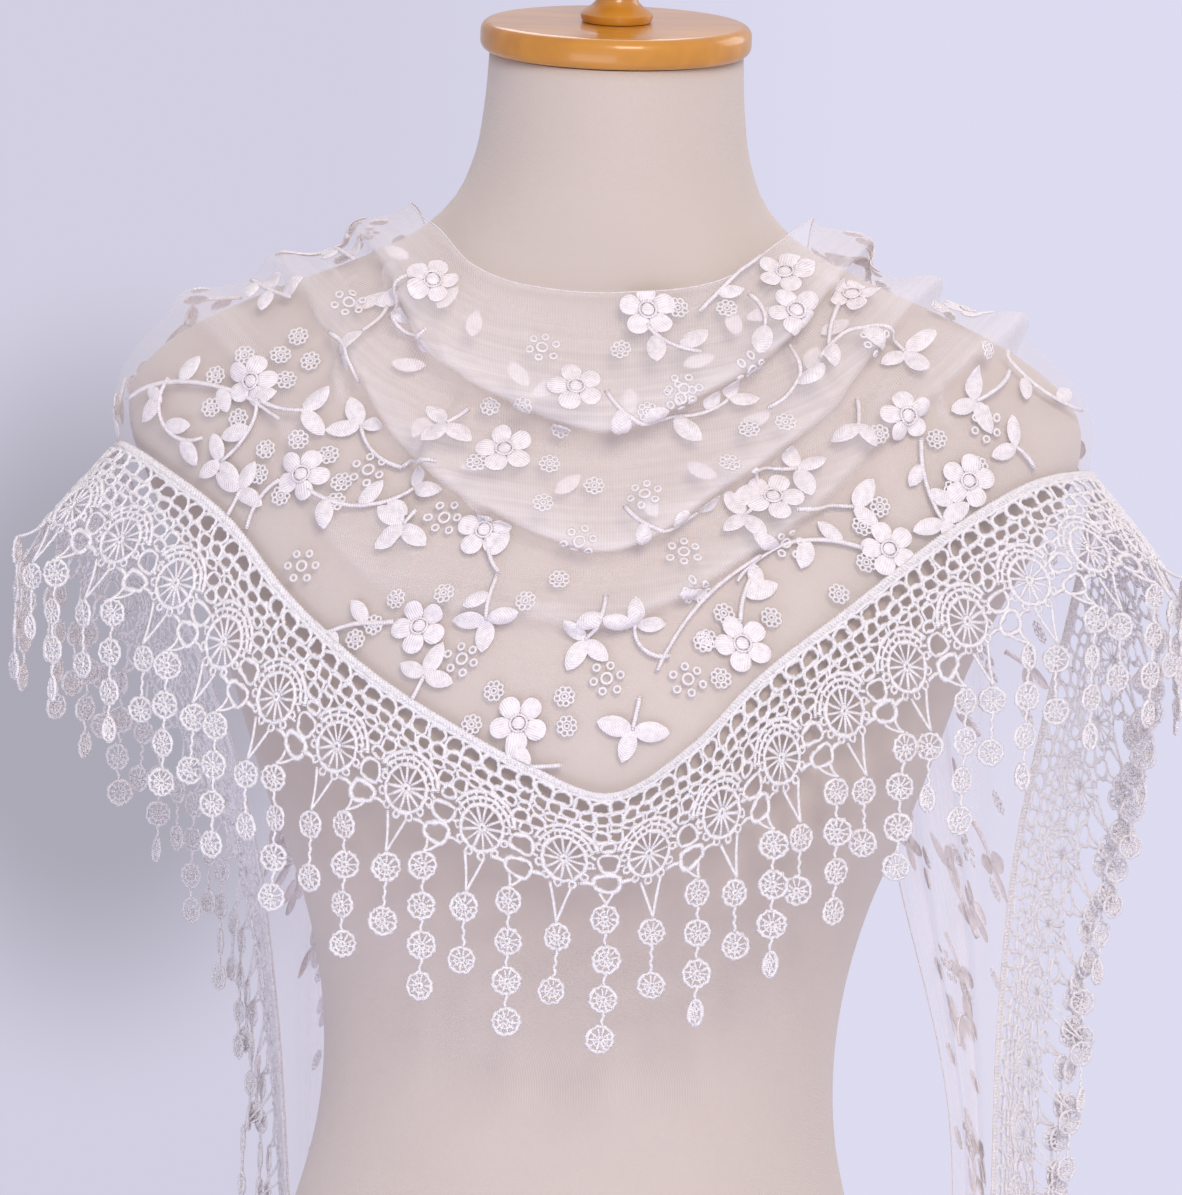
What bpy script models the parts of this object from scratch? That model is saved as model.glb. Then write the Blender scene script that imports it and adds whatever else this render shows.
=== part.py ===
"""A lace veil worn as a shoulder wrap: a triangle of sheer net with a guipure border and a dotted fringe,
laid over a limbless dress form that stands on a short pole and a round base.

Metres, +Z up, front of the form towards -Y, floor at Z = 0.
The cloth is one drape, worked out as a grid of stations along the veil and rows across it.
Every cloth solid is cut from that grid, so their edges meet 0.3 mm apart.
"""

import math
from collections import namedtuple

import bmesh
import bpy
import numpy as np

# Driving sizes
WAIST_Z = 0.410
WALL = 0.0012
SEAM_GAP = 0.0004
FRONT_CLEARANCE = 0.0010
TAIL_CLEARANCE = 0.0060
BORDER_DEPTH = 0.0425
REPEATS_PER_SIDE = 24
FRONT_REPEATS = 10
PITCH = 0.0334
NET_JOIN = 0.40
FRONT_COLUMNS = 27
NET_ROWS = 21
CREST_ROWS = (0, 4, 9, 14, 20)
SEAM_ROW = 0.91
TAIL_COLUMNS = [0.427, 0.455, 0.485, 0.520, 0.570, 0.640, 0.740, 0.860, 0.985]

# The dress form
FORM_SEGMENTS = 24
CAP_RADIUS = 0.0575
CAP_THICKNESS = 0.013
CAP_LEAN_DEG = 8.0
POLE_RADIUS = 0.016
BASE_RADIUS = 0.135
BASE_THICKNESS = 0.020
TOUCH_GAP = 0.0003

Ring = namedtuple("Ring", "above_waist half_width front_depth back_depth")
FORM_RINGS = [
    Ring(-0.250, 0.158, 0.098, 0.108),
    Ring(-0.200, 0.165, 0.102, 0.118),
    Ring(-0.140, 0.154, 0.098, 0.112),
    Ring(-0.070, 0.127, 0.087, 0.090),
    Ring(-0.010, 0.112, 0.079, 0.078),
    Ring(0.045, 0.113, 0.082, 0.078),
    Ring(0.090, 0.124, 0.098, 0.084),
    Ring(0.125, 0.138, 0.116, 0.090),
    Ring(0.160, 0.150, 0.124, 0.095),
    Ring(0.195, 0.162, 0.120, 0.099),
    Ring(0.230, 0.179, 0.107, 0.100),
    Ring(0.260, 0.195, 0.093, 0.098),
    Ring(0.285, 0.204, 0.081, 0.093),
    Ring(0.303, 0.202, 0.073, 0.087),
    Ring(0.319, 0.188, 0.067, 0.081),
    Ring(0.333, 0.165, 0.063, 0.076),
    Ring(0.346, 0.136, 0.061, 0.072),
    Ring(0.358, 0.106, 0.060, 0.067),
    Ring(0.370, 0.083, 0.060, 0.062),
    Ring(0.384, 0.068, 0.060, 0.056),
    Ring(0.402, 0.0595, 0.060, 0.051),
    Ring(0.425, 0.0555, 0.0605, 0.048),
    Ring(0.450, 0.0540, 0.061, 0.046),
]

# Stations along the veil, from the point of the V (0) to a tail's tip (1 or -1), heights above the waist.
# seam is where the border is sewn on, edge is the plain long edge, and hang is the way the border falls.
Station = namedtuple("Station", "at seam edge hang")
STATIONS = [
    Station(-1.000, (-0.134, 0.130, -0.186), (-0.117, 0.133, -0.176), (-0.14, 0.87, -0.46)),
    Station(-0.860, (-0.141, 0.127, -0.080), (-0.110, 0.127, -0.034), (-0.16, 0.87, -0.46)),
    Station(-0.740, (-0.149, 0.121, 0.014), (-0.100, 0.120, 0.082), (-0.20, 0.86, -0.46)),
    Station(-0.640, (-0.161, 0.112, 0.094), (-0.088, 0.111, 0.186), (-0.26, 0.84, -0.47)),
    Station(-0.550, (-0.182, 0.100, 0.165), (-0.080, 0.098, 0.270), (-0.40, 0.70, -0.59)),
    Station(-0.485, (-0.202, 0.079, 0.220), (-0.078, 0.069, 0.338), (-0.54, 0.45, -0.71)),
    Station(-0.435, (-0.210, 0.044, 0.254), (-0.084, 0.033, 0.375), (-0.64, 0.22, -0.74)),
    Station(-0.395, (-0.210, 0.012, 0.270), (-0.086, -0.001, 0.382), (-0.70, 0.06, -0.71)),
    Station(-0.355, (-0.201, -0.018, 0.276), (-0.079, -0.026, 0.378), (-0.70, -0.01, -0.71)),
    Station(-0.315, (-0.180, -0.043, 0.267), (-0.069, -0.043, 0.373), (-0.64, 0.00, -0.77)),
    Station(-0.265, (-0.151, -0.064, 0.250), (-0.057, -0.055, 0.362), (-0.58, 0.01, -0.81)),
    Station(-0.210, (-0.122, -0.084, 0.221), (-0.048, -0.061, 0.357), (-0.54, 0.01, -0.84)),
    Station(-0.150, (-0.087, -0.106, 0.195), (-0.036, -0.064, 0.353), (-0.46, 0.02, -0.89)),
    Station(-0.090, (-0.049, -0.122, 0.175), (-0.022, -0.066, 0.351), (-0.34, 0.02, -0.94)),
    Station(-0.045, (-0.016, -0.128, 0.160), (-0.009, -0.067, 0.350), (-0.24, 0.02, -0.97)),
    Station(0.000, (0.018, -0.129, 0.150), (0.004, -0.067, 0.350), (0.00, 0.02, -1.00)),
    Station(0.045, (0.049, -0.122, 0.170), (0.016, -0.066, 0.351), (0.34, 0.02, -0.94)),
    Station(0.090, (0.073, -0.111, 0.196), (0.028, -0.065, 0.352), (0.44, 0.02, -0.90)),
    Station(0.155, (0.110, -0.090, 0.226), (0.045, -0.061, 0.355), (0.50, 0.02, -0.86)),
    Station(0.230, (0.153, -0.062, 0.260), (0.060, -0.054, 0.362), (0.58, 0.01, -0.81)),
    Station(0.275, (0.180, -0.043, 0.276), (0.070, -0.043, 0.370), (0.64, 0.00, -0.77)),
    Station(0.320, (0.201, -0.015, 0.281), (0.080, -0.025, 0.378), (0.68, 0.00, -0.73)),
    Station(0.370, (0.211, 0.018, 0.275), (0.086, 0.002, 0.382), (0.68, 0.10, -0.72)),
    Station(0.420, (0.210, 0.050, 0.258), (0.084, 0.034, 0.375), (0.62, 0.26, -0.74)),
    Station(0.480, (0.206, 0.080, 0.220), (0.080, 0.068, 0.338), (0.60, 0.42, -0.68)),
    Station(0.550, (0.197, 0.098, 0.168), (0.085, 0.097, 0.272), (0.62, 0.55, -0.56)),
    Station(0.640, (0.186, 0.106, 0.098), (0.107, 0.108, 0.190), (0.60, 0.64, -0.48)),
    Station(0.740, (0.182, 0.110, 0.020), (0.133, 0.111, 0.088), (0.50, 0.72, -0.47)),
    Station(0.860, (0.183, 0.111, -0.072), (0.162, 0.112, -0.024), (0.44, 0.76, -0.48)),
    Station(1.000, (0.181, 0.111, -0.176), (0.166, 0.112, -0.166), (0.42, 0.77, -0.48)),
]
# How much of its depth the border keeps, next to the point of the V.
POINT_SQUEEZE = ((0.00, 0.84), (0.05, 0.95), (0.10, 1.00), (1.00, 1.00))

# Folds that run the whole length of the veil. across is 0 at the long edge and 1 at the seam.
# Each place gives where the crest lies, its half width, how far it stands out and how far it sags over.
Place = namedtuple("Place", "at across half_width height sag")
FOLDS = {
    "cowl": [
        Place(-1.00, 0.30, 0.010, 0.001, 0.000),
        Place(-0.70, 0.26, 0.015, 0.008, 0.003),
        Place(-0.50, 0.15, 0.018, 0.007, 0.003),
        Place(-0.36, 0.11, 0.016, 0.009, 0.004),
        Place(-0.18, 0.17, 0.019, 0.013, 0.011),
        Place(0.00, 0.20, 0.023, 0.015, 0.017),
        Place(0.18, 0.17, 0.019, 0.013, 0.012),
        Place(0.36, 0.10, 0.015, 0.011, 0.006),
        Place(0.50, 0.15, 0.018, 0.009, 0.004),
        Place(0.70, 0.24, 0.015, 0.009, 0.004),
        Place(1.00, 0.30, 0.010, 0.001, 0.000),
    ],
    "second": [
        Place(-1.00, 0.65, 0.010, 0.001, 0.000),
        Place(-0.70, 0.62, 0.017, 0.009, 0.004),
        Place(-0.50, 0.40, 0.018, 0.009, 0.004),
        Place(-0.36, 0.33, 0.016, 0.007, 0.004),
        Place(-0.18, 0.42, 0.018, 0.011, 0.010),
        Place(0.00, 0.45, 0.021, 0.013, 0.016),
        Place(0.18, 0.42, 0.018, 0.012, 0.010),
        Place(0.36, 0.31, 0.014, 0.009, 0.006),
        Place(0.50, 0.39, 0.018, 0.009, 0.004),
        Place(0.70, 0.60, 0.017, 0.011, 0.005),
        Place(1.00, 0.65, 0.010, 0.001, 0.000),
    ],
    "third": [
        Place(-1.00, 0.82, 0.010, 0.000, 0.000),
        Place(-0.70, 0.80, 0.012, 0.002, 0.000),
        Place(-0.50, 0.66, 0.018, 0.007, 0.003),
        Place(-0.36, 0.57, 0.016, 0.005, 0.003),
        Place(-0.18, 0.78, 0.016, 0.004, 0.003),
        Place(0.00, 0.63, 0.016, 0.008, 0.008),
        Place(0.12, 0.66, 0.016, 0.009, 0.008),
        Place(0.24, 0.60, 0.015, 0.007, 0.005),
        Place(0.36, 0.54, 0.015, 0.010, 0.006),
        Place(0.50, 0.65, 0.018, 0.008, 0.003),
        Place(0.70, 0.80, 0.012, 0.002, 0.000),
        Place(1.00, 0.82, 0.010, 0.000, 0.000),
    ],
}
# Short creases that run from the neck towards the seam.
Crease = namedtuple("Crease", "at half_length height start end")
CREASES = [
    Crease(-0.265, 0.020, 0.0065, 0.05, 0.72),
    Crease(-0.150, 0.016, 0.0040, 0.20, 0.80),
    Crease(0.205, 0.018, 0.0050, 0.10, 0.75),
    Crease(0.300, 0.016, 0.0055, 0.15, 0.85),
]

# The drape grid
GRID_STATIONS = 801
GRID_ROWS = 161
BORDER_ROWS = 17
PUSH_ROUNDS = 5
PUSH_SOFTNESS = 0.0008

# The border's repeat, measured from its start and from the seam
HEADER_DEPTH = 0.0045
CELLS_PER_REPEAT = 3
CELL_BAR = 0.0026
CELL_END = 0.0125
LOOP_WIDTH = 0.0085
LOOP_START = 0.0265
LOOP_END = 0.0345
VALLEY_DEPTH = 0.0380
CROWN = 0.0080

# The fringe
STRIP_HEIGHT = 0.0020
STRIP_THICKNESS = 0.0014
THREAD_WIDTH = 0.0014
THREAD_THICKNESS = 0.0011
DOT_RADIUS = 0.0062
DOT_THICKNESS = 0.0014
LAYER_START = 0.0024
LAYER_STEP = 0.0004
LAYER_GAP = 0.0025
Strand = namedtuple("Strand", "lead reach dots link")
LONG_STRAND = Strand(0.0078, 0.0085, 4, 0.0042)
SHORT_STRAND = Strand(0.0120, 0.0008, 2, 0.0095)


def through(knots, values, at):
    """A smooth curve through the values at the knots, read at the given places."""
    knots = np.asarray(knots, float)
    values = np.asarray(values, float)
    at = np.clip(at, knots[0], knots[-1])
    width = np.diff(knots)
    rise = np.diff(values) / width
    slope = np.empty_like(values)
    slope[1:-1] = (rise[:-1] * width[1:] + rise[1:] * width[:-1]) / (width[:-1] + width[1:])
    slope[0] = rise[0]
    slope[-1] = rise[-1]
    i = np.clip(np.searchsorted(knots, at, side="right") - 1, 0, len(knots) - 2)
    t = (at - knots[i]) / width[i]
    start = (2 * t**3 - 3 * t**2 + 1) * values[i] + (t**3 - 2 * t**2 + t) * width[i] * slope[i]
    end = (3 * t**2 - 2 * t**3) * values[i + 1] + (t**3 - t**2) * width[i] * slope[i + 1]
    return start + end


def form_size(height):
    """Half width, front depth and back depth of the form at a height above the floor."""
    rings = np.array(FORM_RINGS)
    above = height - WAIST_Z
    return [through(rings[:, 0], rings[:, column], above) for column in (1, 2, 3)]


def form_level(points):
    """Below 0 inside the form, 0 on it, above 0 outside."""
    half_width, front, back = form_size(points[..., 2])
    depth = np.where(points[..., 1] < 0, front, back)
    return np.sqrt((points[..., 0] / half_width) ** 2 + (points[..., 1] / depth) ** 2) - 1


def form_distance(points):
    """How far each point is outside the form, and the way out."""
    step = 1e-4
    slopes = []
    for axis in np.eye(3) * step:
        slopes.append((form_level(points + axis) - form_level(points - axis)) / (2 * step))
    gradient = np.stack(slopes, -1)
    size = np.linalg.norm(gradient, axis=-1)
    return form_level(points) / size, gradient / size[..., None]


def push_out(points, clearance):
    """Moves the points that are nearer the form than the clearance out to it, softly."""
    for _ in range(PUSH_ROUNDS):
        distance, way = form_distance(points)
        need = clearance - distance
        push = 0.5 * (need + np.sqrt(need**2 + PUSH_SOFTNESS**2))
        points = points + way * push[..., None]
    return points


def unit(vectors):
    return vectors / np.linalg.norm(vectors, axis=-1, keepdims=True)


def grid_normals(points):
    """Unit normals of a grid of points, pointing away from the form."""
    along = np.gradient(points, axis=0)
    across = np.gradient(points, axis=1)
    return unit(np.cross(across, along))


class Drape:
    """The veil's middle surface as two grids: the net, and the border that goes on from its seam."""

    def __init__(self):
        self.at = np.linspace(-1, 1, GRID_STATIONS)
        behind = np.clip((np.abs(self.at) - 0.30) / 0.12, 0, 1)
        self.clearance = (FRONT_CLEARANCE + (TAIL_CLEARANCE - FRONT_CLEARANCE) * behind)[:, None]
        self.across = np.linspace(0, 1, GRID_ROWS)
        self.seam = self.rail("seam")
        self.edge = self.rail("edge")
        self.hang = unit(self.rail("hang"))
        for rail in (self.seam, self.edge):
            rail[:, 2] += WAIST_Z
        self.net = self.folded_net()
        self.net_normals = grid_normals(self.net)
        self.depths = np.linspace(0, 1, BORDER_ROWS)
        self.border = self.hanging_border()
        self.border_normals = grid_normals(self.border)
        shared = unit(self.net_normals[:, -1] + self.border_normals[:, 0])
        self.net_normals[:, -1] = shared
        self.border_normals[:, 0] = shared
        middle = len(self.at) // 2
        line = self.border[:, BORDER_ROWS * 5 // 8]
        length = np.concatenate([[0], np.cumsum(np.linalg.norm(np.diff(line, axis=0), axis=1))])
        self.border_length = length - length[middle]

    def rail(self, part):
        """One rail of the drape, as a point for each station of the grid."""
        knots = [station.at for station in STATIONS]
        values = np.array([getattr(station, part) for station in STATIONS])
        return np.stack([through(knots, values[:, axis], self.at) for axis in range(3)], -1)

    def folded_net(self):
        share = self.across[None, :, None]
        base = self.edge[:, None] * (1 - share) + self.seam[:, None] * share
        base = push_out(base, self.clearance)
        normals = grid_normals(base)
        down = unit(np.gradient(base, axis=1))
        steps = np.linalg.norm(np.diff(base, axis=1), axis=2)
        reach = np.concatenate([np.zeros((len(base), 1)), np.cumsum(steps, axis=1)], axis=1)
        total = reach[:, -1:]
        lift = np.zeros_like(reach)
        sag = np.zeros_like(reach)
        for places in FOLDS.values():
            knots = [p.at for p in places]
            across, half_width, height, sagging = (
                through(knots, [p[column] for p in places], self.at)[:, None] for column in (1, 2, 3, 4)
            )
            narrow = np.minimum(half_width, 0.25 * total + 0.001)
            shrink = narrow / half_width
            offset = np.clip((reach - across * total) / narrow, -1, 1)
            bump = np.cos(offset * math.pi / 2) ** 2
            lift += height * shrink * bump
            sag += sagging * shrink * bump
        for crease in CREASES:
            beside = np.clip((self.at[:, None] - crease.at) / crease.half_length, -1, 1)
            along = np.clip((self.across[None, :] - crease.start) / (crease.end - crease.start), 0, 1)
            lift += crease.height * np.cos(beside * math.pi / 2) ** 2 * np.sin(along * math.pi)
        ends = np.clip(self.across / 0.06, 0, 1) * np.clip((1 - self.across) / 0.10, 0, 1)
        ends = ends * ends * (3 - 2 * ends)
        folded = base + normals * (lift * ends)[..., None] + down * (sag * ends)[..., None]
        return push_out(folded, self.clearance)

    def hanging_border(self):
        start = self.net[:, -1]
        squeeze = through(*zip(*POINT_SQUEEZE), np.abs(self.at))
        depth = (squeeze[:, None] * self.depths[None, :] * BORDER_DEPTH)[..., None]
        droop = np.array([0.0, 0.0, -0.10]) * (self.depths**2 * BORDER_DEPTH)[None, :, None]
        return push_out(start[:, None] + self.hang[:, None] * depth + droop, self.clearance)

    def net_point(self, at, across):
        """Point and normal of the net at a station and a row."""
        return self.read(self.net, self.net_normals, at, across)

    def crest_row(self, at, row):
        """How far across the net a row of the wall lies, with a row on the crest of each fold."""
        crests = [
            through([p.at for p in places], [p.across for p in places], at) for places in FOLDS.values()
        ]
        return float(np.interp(row, CREST_ROWS, [0.0, *crests, SEAM_ROW]))

    def station(self, length):
        """The station of the grid that lies at a length along the border from the V's point."""
        side = self.border_length[-1] if length > 0 else -self.border_length[0]
        stretch = side * 0.992 / (REPEATS_PER_SIDE * PITCH)
        return float(np.interp(length * stretch, self.border_length, self.at))

    def border_point(self, length, depth):
        """Point and normal of the border, a length along it from the V's point and a depth from the seam."""
        return self.read(self.border, self.border_normals, self.station(length), depth / BORDER_DEPTH)

    def read(self, points, normals, at, across):
        i = (np.clip(at, -1, 1) + 1) / 2 * (points.shape[0] - 1)
        j = np.clip(across, 0, 1) * (points.shape[1] - 1)
        low_i = np.minimum(int(i), points.shape[0] - 2)
        low_j = np.minimum(int(j), points.shape[1] - 2)
        u, v = i - low_i, j - low_j
        found = []
        for grid in (points, normals):
            near = grid[low_i, low_j] * (1 - v) + grid[low_i, low_j + 1] * v
            far = grid[low_i + 1, low_j] * (1 - v) + grid[low_i + 1, low_j + 1] * v
            found.append(near * (1 - u) + far * u)
        return found[0], unit(found[1])


def material(name, colour, roughness, metallic=0.0):
    made = bpy.data.materials.new(name)
    made.use_nodes = True
    shader = made.node_tree.nodes["Principled BSDF"]
    shader.inputs["Base Color"].default_value = (*colour, 1)
    shader.inputs["Roughness"].default_value = roughness
    shader.inputs["Metallic"].default_value = metallic
    return made


def add_object(name, points, faces, finish, smooth=True):
    """A mesh object with its faces turned outwards."""
    mesh = bpy.data.meshes.new(name)
    mesh.from_pydata([tuple(p) for p in points], [], faces)
    work = bmesh.new()
    work.from_mesh(mesh)
    bmesh.ops.recalc_face_normals(work, faces=work.faces)
    bmesh.ops.triangulate(work, faces=[f for f in work.faces if len(f.verts) > 3])
    work.to_mesh(mesh)
    work.free()
    mesh.materials.append(finish)
    if smooth:
        mesh.shade_smooth()
        mesh.set_sharp_from_angle(angle=math.radians(40))
    made = bpy.data.objects.new(name, mesh)
    bpy.context.scene.collection.objects.link(made)
    return made


def turned(name, profile, segments, finish):
    """A solid of revolution about +Z from (radius, height) points that start and end on the axis."""
    points = [(0, 0, profile[0][1])]
    rings = []
    for radius, height in profile[1:-1]:
        rings.append(len(points))
        for k in range(segments):
            angle = 2 * math.pi * k / segments
            points.append((radius * math.cos(angle), radius * math.sin(angle), height))
    points.append((0, 0, profile[-1][1]))
    faces = []
    for k in range(segments):
        after = (k + 1) % segments
        faces.append((0, rings[0] + after, rings[0] + k))
        for low, high in zip(rings, rings[1:]):
            faces.append((low + k, low + after, high + after, high + k))
        faces.append((rings[-1] + k, rings[-1] + after, len(points) - 1))
    return add_object(name, points, faces, finish)


def wall(name, triangles, surface, finish):
    """A cloth wall from triangles in the cloth's two coordinates: two skins, and a rim at each free edge."""
    order = {}
    for triangle in triangles:
        for corner in triangle:
            order.setdefault(corner, len(order))
    outer, inner = [], []
    for corner in order:
        point, normal = surface(*corner)
        outer.append(point + normal * WALL / 2)
        inner.append(point - normal * WALL / 2)
    count = len(order)
    faces = []
    uses = {}
    for triangle in triangles:
        indices = [order[corner] for corner in triangle]
        faces.append(tuple(indices))
        faces.append(tuple(count + i for i in reversed(indices)))
        for first, second in zip(indices, indices[1:] + indices[:1]):
            uses.setdefault(frozenset((first, second)), []).append((first, second))
    for used in uses.values():
        if len(used) == 1:
            first, second = used[0]
            faces.append((second, first, count + first, count + second))
    return add_object(name, outer + inner, faces, finish)


def band(top, bottom):
    """Triangles between two chains of corners that run the same way."""
    found = []
    i = j = 0
    while i < len(top) - 1 or j < len(bottom) - 1:
        if j == len(bottom) - 1 or (i < len(top) - 1 and top[i + 1][0] <= bottom[j + 1][0]):
            found.append((top[i], top[i + 1], bottom[j]))
            i += 1
        else:
            found.append((top[i], bottom[j + 1], bottom[j]))
            j += 1
    return found


def row(marks, left, right, depth):
    """The corners at one depth, from left to right."""
    return [(x, depth) for x in marks if left <= x <= right]


def scallop(left, right):
    """The free edge of one scallop, or of the half of it that a piece ends in."""
    middle = (round((left + right) / 2 / PITCH - 0.5) + 0.5) * PITCH
    rise, fall = round(middle - CROWN / 2, 7), round(middle + CROWN / 2, 7)
    start = [(left, VALLEY_DEPTH), (rise, BORDER_DEPTH)] if left < rise else [(left, BORDER_DEPTH)]
    end = [(fall, BORDER_DEPTH), (right, VALLEY_DEPTH)] if right > fall else [(right, BORDER_DEPTH)]
    return start + end


def border_triangles(start, end):
    """The border from start to end along it, without its round cells and the gaps between its rosettes."""
    start, end = round(start, 7), round(end, 7)
    cell = PITCH / CELLS_PER_REPEAT
    bars, loops, seams = [], [], [start]
    for c in range(math.ceil(start / cell), math.floor(end / cell) + 1):
        left = round(c * cell - CELL_BAR / 2, 7)
        right = round(left + CELL_BAR, 7)
        if left <= start or right >= end:
            continue
        bars.append((left, right))
        if c % CELLS_PER_REPEAT:
            seams.append(left)
        else:
            loops.append((round(c * cell - LOOP_WIDTH / 2, 7), round(c * cell + LOOP_WIDTH / 2, 7)))
    seams.append(end)
    lefts = [start] + [bar[0] for bar in bars] + [end]
    edges = sorted([start, end] + [x for bar in bars for x in bar])
    lower = sorted(seams + [x for loop in loops for x in loop])
    found = []
    for left, right in zip(lefts, lefts[1:]):
        found += band([(left, SEAM_GAP), (right, SEAM_GAP)], row(edges, left, right, HEADER_DEPTH))
    for left, right in [(start, bars[0][0])] + bars + [(bars[-1][1], end)]:
        found += band([(left, HEADER_DEPTH), (right, HEADER_DEPTH)], [(left, CELL_END), (right, CELL_END)])
    for left, right in zip(seams, seams[1:]):
        found += band(row(edges, left, right, CELL_END), row(lower, left, right, LOOP_START))
    rights = [start] + [loop[1] for loop in loops]
    for left, right in zip(rights, [loop[0] for loop in loops] + [end]):
        found += band(row(lower, left, right, LOOP_START), row(lower, left, right, LOOP_END))
        found += band(row(lower, left, right, LOOP_END), scallop(left, right))
    for left, right in loops:
        found += band([(left, LOOP_END), (right, LOOP_END)], [(left, VALLEY_DEPTH), (right, VALLEY_DEPTH)])
    return found


def strand_rings(root, away, out, sideways, outward, strand, layer):
    """The three corners of each ring of a strand from its root down, and its tip."""
    down = np.array([0.0, 0.0, -1.0])
    centre = sum(root) / 3
    shrink = THREAD_WIDTH / np.linalg.norm(root[1] - root[0])
    shift = outward * layer + away * (0.0010 + max(0.0, -layer * float(outward @ away)))
    rings = [[centre + (corner - centre) * shrink + shift for corner in root]]
    place = centre + outward * layer + out * (DOT_RADIUS + strand.reach) + down * strand.lead
    sections = [(place, THREAD_WIDTH, THREAD_THICKNESS)]
    for dot in range(strand.dots):
        sections.append((place + down * DOT_RADIUS, 2 * DOT_RADIUS, DOT_THICKNESS))
        place = place + down * (2 * DOT_RADIUS + strand.link)
        sections.append((place, THREAD_WIDTH, THREAD_THICKNESS))
    tip = sections.pop()[0] - down * strand.link
    bisector = unit(sections[0][0] - sum(rings[0]) / 3) + down
    for centre, width, thickness in sections:
        left = -sideways * width / 2 - outward * thickness / 2
        right = sideways * width / 2 - outward * thickness / 2
        front = outward * thickness / 2
        slide = [float(corner @ bisector / (down @ bisector)) for corner in (left, right, front)]
        rings.append([centre + corner - down * s for corner, s in zip((left, right, front), slide)])
        bisector = down
    return rings, tip


def strand_length(strand):
    return strand.lead + strand.dots * (2 * DOT_RADIUS + strand.link) - strand.link


def free_layer(root, out, sideways, outward, strand, face, hung):
    """The nearest layer in which a strand hangs clear of those already hung."""
    top = root[2]
    bottom = top - strand_length(strand)
    layer = LAYER_START
    while True:
        place = root + outward * layer * face + out * (DOT_RADIUS + strand.reach)
        clear = True
        for other, other_top, other_bottom in hung:
            between = place - other
            if top < other_bottom - 0.002 or bottom > other_top + 0.002:
                continue
            if abs(between @ sideways) < 2 * DOT_RADIUS + 0.0010 and abs(between @ outward) < LAYER_GAP:
                clear = False
        if clear:
            hung.append((place * np.array([1, 1, 0]), top, bottom))
            return layer * face
        layer += LAYER_STEP


def fringe(name, drape, start, end, face, finish):
    """A three-sided strip just past the border's edge, with strands that grow from its underside."""
    columns, kinds = [], []
    for half in range(math.ceil(2 * start / PITCH), math.floor(2 * end / PITCH) + 1):
        valley = half % 2 == 0
        width, depth = (LOOP_WIDTH, VALLEY_DEPTH) if valley else (CROWN, BORDER_DEPTH)
        middle = half * PITCH / 2
        columns += [(middle - width / 2, depth), (middle + width / 2, depth)]
        kinds.append((LONG_STRAND if valley else SHORT_STRAND, middle, depth))
    points, faces = [], []
    for length, depth in columns:
        here, normal = drape.border_point(length, depth)
        inside, _ = drape.border_point(length, depth - 0.002)
        away = unit(here - inside)
        rim = here + away * (SEAM_GAP * 1.5 + STRIP_HEIGHT)
        half = normal * STRIP_THICKNESS / 2
        points += [here + away * SEAM_GAP * 1.5, rim + half, rim - half]
    level = np.array([1.0, 1.0, 0.0])
    plans = []
    for number, (strand, middle, depth) in enumerate(kinds):
        here, normal = drape.border_point(middle, depth)
        inside, _ = drape.border_point(middle, depth - 0.02)
        outward = unit(normal * level)
        away = unit(here - inside)
        sideways = np.cross(np.array([0.0, 0.0, 1.0]), outward)
        plans.append((number, strand, away, away * level, sideways, outward, here))
    hung, layers = [], {}
    for number, strand, away, out, sideways, outward, here in sorted(plans, key=lambda plan: -plan[-1][2]):
        layers[number] = free_layer(here, out, sideways, outward, strand, face, hung)
    for i in range(len(columns) - 1):
        a, b = 3 * i, 3 * (i + 1)
        faces += [(a, b, b + 1), (a, b + 1, a + 1), (a, a + 2, b + 2), (a, b + 2, b)]
        if i % 2:
            faces += [(a + 1, b + 1, b + 2), (a + 1, b + 2, a + 2)]
            continue
        number, strand, away, out, sideways, outward, here = plans[i // 2]
        before = [a + 2, b + 2, a + 1]
        faces.append((a + 1, b + 1, b + 2))
        if layers[number] < 0 and points[a][2] > points[b][2]:
            before = [a + 2, b + 2, b + 1]
            faces[-1] = (a + 1, b + 1, a + 2)
        root = [points[corner] for corner in before]
        rings, tip = strand_rings(root, away, out, sideways, outward, strand, layers[number])
        for ring in rings:
            base = len(points)
            points += ring
            now = [base, base + 1, base + 2]
            for j in range(3):
                n = (j + 1) % 3
                faces += [(before[j], before[n], now[n]), (before[j], now[n], now[j])]
            before = now
        faces += [(before[j], before[(j + 1) % 3], len(points)) for j in range(3)]
        points.append(tip)
    end_row = 3 * (len(columns) - 1)
    faces += [(0, 1, 2), (end_row, end_row + 2, end_row + 1)]
    return add_object(name, points, faces, finish, smooth=False)


def build_form(finish):
    rings = []
    lean = math.tan(math.radians(CAP_LEAN_DEG))
    top = FORM_RINGS[-1].above_waist
    lean_from = 0.384
    for ring in FORM_RINGS:
        share = max(0.0, (ring.above_waist - lean_from) / (top - lean_from))
        circle = []
        for k in range(FORM_SEGMENTS):
            angle = 2 * math.pi * k / FORM_SEGMENTS
            depth = ring.front_depth if math.sin(angle) < 0 else ring.back_depth
            y = depth * math.sin(angle)
            height = WAIST_Z + ring.above_waist + share * lean * y
            circle.append((ring.half_width * math.cos(angle), y, height))
        rings.append(circle)
    points = [p for circle in rings for p in circle]
    faces = [tuple(reversed(range(FORM_SEGMENTS)))]
    for low in range(0, len(points) - FORM_SEGMENTS, FORM_SEGMENTS):
        for k in range(FORM_SEGMENTS):
            after = (k + 1) % FORM_SEGMENTS
            faces.append((low + k, low + after, low + FORM_SEGMENTS + after, low + FORM_SEGMENTS + k))
    faces.append(tuple(range(len(points) - FORM_SEGMENTS, len(points))))
    return add_object("form_torso", points, faces, finish)


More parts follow.
